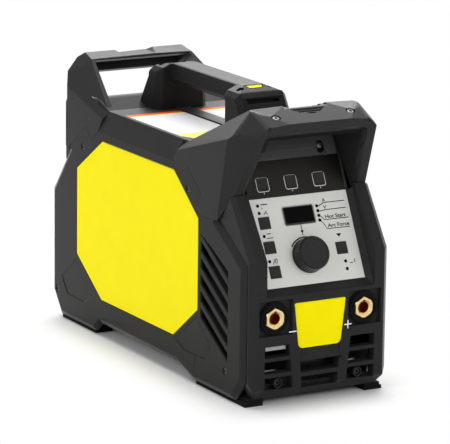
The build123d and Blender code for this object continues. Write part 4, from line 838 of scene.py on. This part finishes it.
def glass(name, colour):
    """Smoked acrylic: dark and smooth, with faint wipe marks in the gloss."""
    smear = 11.11
    rough = 0.05
    material, tree, out = start_material(name)
    place = add(tree, "ShaderNodeTexCoord").outputs["Object"]
    smears = add(tree, "ShaderNodeTexNoise", {"Vector": place, "Scale": 1000 / smear, "Detail": 5.0})
    worn = add(tree, "ShaderNodeMapRange",
               {"Value": smears.outputs[0], "To Min": rough, "To Max": rough + 0.1})
    base = linear(colour)
    dull = [c * 0.7 for c in base[:3]] + [1]
    tone = add(tree, "ShaderNodeMix", {"Factor": smears.outputs[0], 6: base, 7: dull}, data_type="RGBA")
    finish = add(tree, "ShaderNodeBsdfPrincipled", {
        "Base Color": tone.outputs[2], "Roughness": worn.outputs[0], "Specular IOR Level": 0.04})
    tree.links.new(finish.outputs[0], out.inputs["Surface"])
    return material


smoked = glass("smoked_acrylic", "#050505")
dress("display_window", smoked)
dress("display_module", grained("module_black", "#101010", 0.5))
lens_radius = 1.8
stem_radius = 1.3
model = lathe("lamp", [(stem_radius, -4), (stem_radius, 0.02), (lens_radius, 0.02), (lens_radius, 0.35),
                       (lens_radius * 0.75, 0.6), (lens_radius * 0.3, 0.72)], 24)
smooth(model, 60)
copies = []
for low, high in solids_of("indicator_lamps"):
    local = on_panel((low + high) / 2)
    copies.append(moved(model, "lamp", panel @ Matrix.Translation((local.x * mm, local.y * mm, 0))))
bpy.data.objects.remove(model)
stand_for(joined("lamp_lenses", copies), smoked, "lamp_lens", "machine", "indicator_lamps")


# Seven sprung keys stand through the fascia and the film above it. Each is a charcoal cap with
# rounded corners and a face dished for the fingertip, and works the small switch behind it.
key_half = 6.5
key_top = 1.2
key_finish = grained("key_plastic", "#333333", 0.36, grain=0.7, depth=0.03)
first_node = "button_select"
first_place = key_centres[first_node]


def on_key_corner(middle):
    """The four upright corner edges of the first key's cap."""
    local = on_panel(middle)
    gaps = (abs(abs(local[i] - first_place[i]) - key_half) for i in (0, 1))
    return max(gaps) < 0.2


key = merged_copy(first_node, "key_model")
soften(key, 2.2, least=2, angle=24, segments=5, where=on_key_corner)
only(key)
bpy.ops.object.mode_set(mode="EDIT")
bpy.ops.mesh.select_mode(type="FACE")
bpy.ops.mesh.select_all(action="DESELECT")
mesh = bmesh.from_edit_mesh(key.data)
for face in mesh.faces:
    if on_panel(face.calc_center_median() / mm).z > key_top - 0.05:
        face.select_set(True)
bmesh.update_edit_mesh(key.data)
for wide, deep in ((0.55, 0.0), (0.7, 0.2), (1.6, 0.15)):
    bpy.ops.mesh.inset(thickness=wide * mm, depth=-deep * mm)
bpy.ops.object.mode_set(mode="OBJECT")
soften(key, 0.35, least=1, angle=50, where=lambda middle: on_panel(middle).z > key_top - 0.1)
smooth(key)
for node, body in key_nodes.items():
    x, y = key_centres[node]
    shift = Vector((x - first_place[0], y - first_place[1], 0)) * mm
    cap = moved(key, node.replace("button", "key_cap"), panel @ Matrix.Translation(shift) @ panel_back)
    stand_for(cap, key_finish, "key_plastic", body, node)
bpy.data.objects.remove(key)


# The setting knob is a black nylon barrel with fine flutes for grip, a chamfer round its face and
# a shallow dish. It is pushed on the steel shaft of the encoder.
flutes = 36
knob_radius = 19.3
knob_tall = 16.7
flute_depth = 0.45
stand_off = 0.6
dish = 14.6
flute_inner = 16
shaft_hole = 3.2
rings = [(shaft_hole, stand_off + 0.5), (knob_radius, stand_off), (knob_radius, stand_off + 1.2),
         (knob_radius - 0.3, stand_off + 1.5), (knob_radius - 0.6, knob_tall - 2.0),
         (knob_radius - 2.1, knob_tall), (dish, knob_tall), (dish - 0.7, knob_tall - 0.5),
         (4, knob_tall - 0.7)]
knob = lathe("knob_cap", rings, flutes * 2)
for vertex in knob.data.vertices:
    x, y, z = vertex.co / mm
    side = int(round(atan2(y, x) / (pi / flutes)))
    if side % 2 and stand_off + 1.3 < z < knob_tall - 1.5 and hypot(x, y) > flute_inner:
        vertex.co.x *= 1 - flute_depth / knob_radius
        vertex.co.y *= 1 - flute_depth / knob_radius
soften(knob, 0.2, least=8, angle=40, segments=1)
smooth(knob, 25)
knob.data.transform(panel @ Matrix.Translation((knob_place[0] * mm, knob_place[1] * mm, 0)))
knob_nylon = grained("knob_nylon", "#1E1E1E", 0.36, grain=0.8, depth=0.03, gloss=0.15)
stand_for(knob, knob_nylon, "knob_plastic", "knob", "control_knob")
dress("encoder_shaft", bright_zinc)
dress("encoder_body", metal("encoder_can", "#A8A8A4", 0.4))


# Each output socket is turned from hexagon brass, with chamfered corners, and its bore has a bayonet
# keyway. A brown sleeve in the bore is painted shade and reflection for the brass seen deep inside.
# A black nylon bush with stepped rings insulates it, and a nut clamps both behind.
brass = metal("turned_brass", "#E8CB92", 0.24, grain=0.8, dirt=0.2)
socket_low, socket_high = (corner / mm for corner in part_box("socket_insert_positive"))
socket_x = (socket_low.x + socket_high.x) / 2
socket_z = (socket_low.z + socket_high.z) / 2
socket_plane = axes((1, 0, 0), (0, 0, 1), (socket_x, socket_low.y, socket_z))
bore = 6.5
insert = merged_copy("socket_insert_positive", "socket_insert_positive_brass")
shield = lathe("hexagon_edge_cutter", [(16, -3.2), (16, 1), (13.8, 1)])
carve(shield, lathe("hexagon_edge_core", [(13.4, -2.6), (11.0, 0.0), (11.0, 2)]))
shield.data.transform(socket_plane)
carve(insert, shield)
keyway_half = 1.4
keyway_depth = 13.5
keyway = (-keyway_half, bore - 1.5, keyway_half, bore + 2.2)
carve(insert, bars("keyway_cutter", [keyway], keyway_depth + 0.5, socket_plane, -keyway_depth))
stand_for(insert, brass, "socket_brass", "machine", "socket_insert_positive")
insert_left = moved(insert, "socket_insert_negative_brass", Matrix.Translation((-2 * socket_x * mm, 0, 0)))
stand_for(insert_left, brass, "socket_brass", "machine", "socket_insert_negative")
# The sleeve's brown is painted shade and reflection: it stands for the brass bore seen in shade.
bore_shade = metal("bore_shade", "#B0622A", 0.35, grain=1.5, dirt=0.7)
bore_shade_rings = [(bore - 0.02, -16), (bore - 0.02, -1.6), (bore - 0.5, -1.6), (bore - 0.6, -15.2)]
bore_shade_sleeve = lathe("bore_painted_shade", bore_shade_rings)
smooth(bore_shade_sleeve, 40)
bore_shade_sleeve_left = moved(bore_shade_sleeve, "bore_painted_shade_left", axes((1, 0, 0), (0, 0, 1), (-socket_x, socket_low.y, socket_z)))
bore_shade_sleeve.data.transform(socket_plane)
stand_for(joined("bore_painted_shades", [bore_shade_sleeve, bore_shade_sleeve_left]), bore_shade, "socket_brass")
bush_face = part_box("socket_insulators")[0].y / mm
bush = merged_copy("socket_insulators", "socket_insulator_pair")
for side in (1, -1):
    for outer, inner_radius, deep in ((18.6, 16.6, 1.6), (15.0, 13.6, 1.0)):
        plane = axes((1, 0, 0), (0, 0, 1), (side * socket_x, bush_face, socket_z))
        groove = lathe("groove_cutter", [(outer, -deep), (outer, 2)])
        carve(groove, lathe("groove_core", [(inner_radius, -deep - 1), (inner_radius, 3)]))
        groove.data.transform(plane)
        carve(bush, groove)
soften(bush, 0.3, least=1.5)
bush_nylon = grained("bush_nylon", "#121212", 0.4, grain=0.8, depth=0.03)
stand_for(bush, bush_nylon, "insulator", "machine", "socket_insulators")
dress("socket_nuts", metal("nut_brass", "#C9A55E", 0.35))
dress("busbars", metal("busbar_copper", "#B87A56", 0.35))


# Behind the upper left slot of the grille runs an earthing strip. It is cut from zinc-plated steel
# sheet and fixed inside the bezel.
strip_y = -226.5
strip_thick = 0.8
strip_plane = axes((1, 0, 0), (0, 0, 1), (0, strip_y, 0))
strip_box = (-65, 61.5, -40, 65.5)
strip = bars("earthing_strip", [strip_box], strip_thick, strip_plane, 0)
stand_for(strip, bright_zinc, "zinc_steel")


# Two short black screws hold the bezel's foot to the pan, deep in the grille, and a zinc-plated
# cross-recess screw holds the upper end of the panel tray in its pocket.
black_steel = metal("blackened_steel", "#3A3A3C", 0.3, dirt=0.5)
grille_head = 2.4
grille_top = 100
cross_half = 2.4
cross_line = 0.45
cross_floor = 1.0
tray_seat = 0.4
tray_rings = [(1.9, -7), (1.9, 0), (3.8, 0), (3.8, 0.7), (3.2, 1.5), (1.6, 2.0)]
model = socket_screw("grille_screw", radius=4.0, height=grille_head, length=17.0, hexagon=1.6)
grille_screws = []
for low, high in solids_of("front_screws"):
    centre = (low + high) / 2
    if centre.z < grille_top:
        spot = axes((1, 0, 0), (0, 0, 1), (centre.x, low.y + grille_head, centre.z))
        grille_screws.append(moved(model, "grille_screw", spot))
    else:
        tray_spot = on_panel(centre)
        tray_screw = lathe("tray_screw", tray_rings)
        for long, short in ((cross_half, cross_line), (cross_line, cross_half)):
            arm = (-long, -short, long, short)
            carve(tray_screw, bars("cross_cutter", [arm], 3, Matrix.Identity(4), cross_floor))
        smooth(tray_screw, 30)
        seat = Vector((tray_spot.x, tray_spot.y, tray_seat)) * mm
        tray_screw.data.transform(panel @ Matrix.Translation(seat))
bpy.data.objects.remove(model)
stand_for(joined("grille_screw_pair", grille_screws), black_steel, "zinc_steel", "machine", "front_screws")
stand_for(tray_screw, dull_zinc, "zinc_steel", "machine", "front_screws")


# The deck is a moulded black plate between the covers with a low rib in the middle. A film label
# lies on each half of it: white, with an orange band at the rear and a yellow field in front.
dress("deck_plate", grained("deck_nylon", "#2A2A2A", 0.4, grain=1.1, depth=0.06))
dress("deck_labels", printed("white_label", "#F1F1F3", rough=0.4, gloss=0.3, speck=0.04))
orange_print = printed("orange_print", "#F4511E", rough=0.45, gloss=0.3)
lemon_print = printed("lemon_print", "#FFE11A", rough=0.45, gloss=0.3)
pale_print = printed("pale_yellow_print", "#F4EC7A", rough=0.45, gloss=0.3)
label_low, label_high = (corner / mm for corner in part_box("deck_labels"))
deck_plane = axes((1, 0, 0), (0, 1, 0), (0, 0, label_high.z))
label_in = 10.6
label_ink = 0.05
band_wide = 8.5
line_wide = 3.5
band_y = label_high.y - band_wide
line_y = band_y - line_wide
rear_band = [(side * label_in, band_y, side * label_high.x, label_high.y) for side in (1, -1)]
stand_for(bars("label_rear_band", rear_band, label_ink, deck_plane, 0), orange_print, "label_sheet")
rear_line = [(side * label_in, line_y, side * label_high.x, band_y) for side in (1, -1)]
stand_for(bars("label_rear_line", rear_line, label_ink, deck_plane, 0), lemon_print, "label_sheet")
field_in, field_out = 34, 80
field_front, field_rear = label_low.y, label_low.y + 30
clip_wide, clip_deep = 10, 20
field = [(field_in, field_front), (field_out - clip_wide, field_front),
         (field_out, field_front + clip_deep), (field_out, field_rear), (field_in, field_rear)]
fields = plate("label_front_field", [field, [(-x, y) for x, y in field]], label_ink, deck_plane)
stand_for(fields, pale_print, "label_sheet")


# The carrying handle is moulded in two halves that are screwed together. Its grip has an octagonal
# section, and it stands on two blocks bolted through the deck.
# The handle's nylon is a darker copy of the covers' black, as painted shade for the grip's shadow.
handle_nylon_painted_shade = grained("handle_nylon_painted_shade", "#1F1F1F", 0.36, grain=1.0, depth=0.06)
deck_level = 268
joint_level = 304.5
joint_clear = 1.5


def off_the_joint(middle):
    """Above the deck, and clear of the line where the two halves meet."""
    return middle.z > deck_level and abs(middle.z - joint_level) > joint_clear


for node in ("handle_lower", "handle_upper"):
    shell = merged_copy(node, node + "_moulding")
    soften(shell, 1.3, least=6, angle=20, segments=3, where=off_the_joint)
    stand_for(shell, handle_nylon_painted_shade, "black_moulding", "machine", node)
inlay = merged_copy("handle_badges", "handle_badge_pair")
soften(inlay, 0.5, least=3)
stand_for(inlay, yellow_print, "yellow_inlay", "machine", "handle_badges")
dress("handle_fasteners", black_steel)


# The rear frame is one black moulding as well: a hoop with two corner posts that guards the back.
# Its opening leaves room for a hand under the top bar.
frame_piece = merged_copy("rear_frame", "rear_frame_moulding")
bar_level = 292
soften(frame_piece, 0.9, least=10, where=lambda middle: middle.z > bar_level)
stand_for(frame_piece, hood_nylon, "black_moulding", "machine", "rear_frame")


# The rear panel is sheet steel with a fine textured powder coat. It carries the fan with its wire
# guard, the mains switch and the gland that the mains lead would come through.
dress("rear_panel", grained("powder_coat", "#2B2C2E", 0.55, grain=0.8, depth=0.12))
dress("rear_screws", bright_zinc)
dress("fan_guard", metal("chromed_wire", "#C4C7CA", 0.22))
fan_black = grained("fan_plastic", "#141414", 0.42, grain=0.8, depth=0.03)
dress("fan_frame", fan_black)
dress("fan_rotor", fan_black)
dress("switch_body", grained("switch_black", "#111111", 0.35, grain=0.6, depth=0.02))
dress("switch_rocker", grained("rocker_black", "#1A1A1A", 0.3, grain=0.6, depth=0.02))
gland_nylon = grained("gland_nylon", "#171717", 0.5, grain=0.9, depth=0.04)
for node in ("gland_body", "gland_cap", "gland_nut"):
    dress(node, gland_nylon)


# The base pan is folded from zinc-coated sheet, which shows its crystal pattern, and stands on
# four moulded rubber feet.
def galvanised(name):
    """Zinc-coated sheet: crystals of slightly different grey and sheen."""
    crystal = 9.09
    material, tree, out = start_material(name)
    place = add(tree, "ShaderNodeTexCoord").outputs["Object"]
    crystals = add(tree, "ShaderNodeTexVoronoi", {"Vector": place, "Scale": 1000 / crystal})
    tone = add(tree, "ShaderNodeMix",
               {"Factor": crystals.outputs["Color"], 6: linear("#8E9194"), 7: linear("#B3B6B8")},
               data_type="RGBA")
    worn = add(tree, "ShaderNodeMapRange",
               {"Value": crystals.outputs["Color"], "To Min": 0.3, "To Max": 0.55})
    finish = add(tree, "ShaderNodeBsdfPrincipled", {
        "Base Color": tone.outputs[2], "Roughness": worn.outputs[0], "Metallic": 0.9})
    tree.links.new(finish.outputs[0], out.inputs["Surface"])
    return material


dress("base_pan", galvanised("zinc_coated_sheet"))
dress("rubber_feet", grained("rubber", "#151515", 0.75, grain=1.2, depth=0.08))


# Inside stand the boards, the heat sinks, the transformer, the choke and the capacitors, which
# show only through the grilles and when the covers are off.
def board(name, colour):
    """A circuit board: solder mask with tracks that stand out slightly."""
    track = 6.25
    material, tree, out = start_material(name)
    place = add(tree, "ShaderNodeTexCoord").outputs["Object"]
    tracks = add(tree, "ShaderNodeTexBrick", {"Vector": place, "Scale": 1000 / track, "Mortar Size": 0.06})
    base = linear(colour)
    pale = [c * 1.5 for c in base[:3]] + [1]
    tone = add(tree, "ShaderNodeMix", {"Factor": tracks.outputs["Fac"], 6: base, 7: pale}, data_type="RGBA")
    relief = add(tree, "ShaderNodeBump",
                 {"Height": tracks.outputs["Fac"], "Strength": 0.3, "Distance": 0.05 * mm})
    finish = add(tree, "ShaderNodeBsdfPrincipled", {
        "Base Color": tone.outputs[2], "Roughness": 0.35, "Normal": relief.outputs[0]})
    tree.links.new(finish.outputs[0], out.inputs["Surface"])
    return material


solder_mask = board("solder_mask", "#12512E")
dress("power_board", solder_mask)
dress("control_board", solder_mask)
dress("tact_switches", grained("switch_body_black", "#181818", 0.5))
dress("heat_sinks", metal("extruded_aluminium", "#A9ACAF", 0.42, grain=0.4))
dress("capacitors", printed("capacitor_sleeve", "#1D2A4A", rough=0.3, gloss=0.5))
dress("transformer_core", grained("ferrite_black", "#26262A", 0.6, grain=1.5, depth=0.05))
dress("transformer_winding", printed("tape_yellow", "#C9A227", rough=0.5, gloss=0.3))
dress("output_choke", metal("enamelled_copper", "#A5552C", 0.35, grain=1.5))
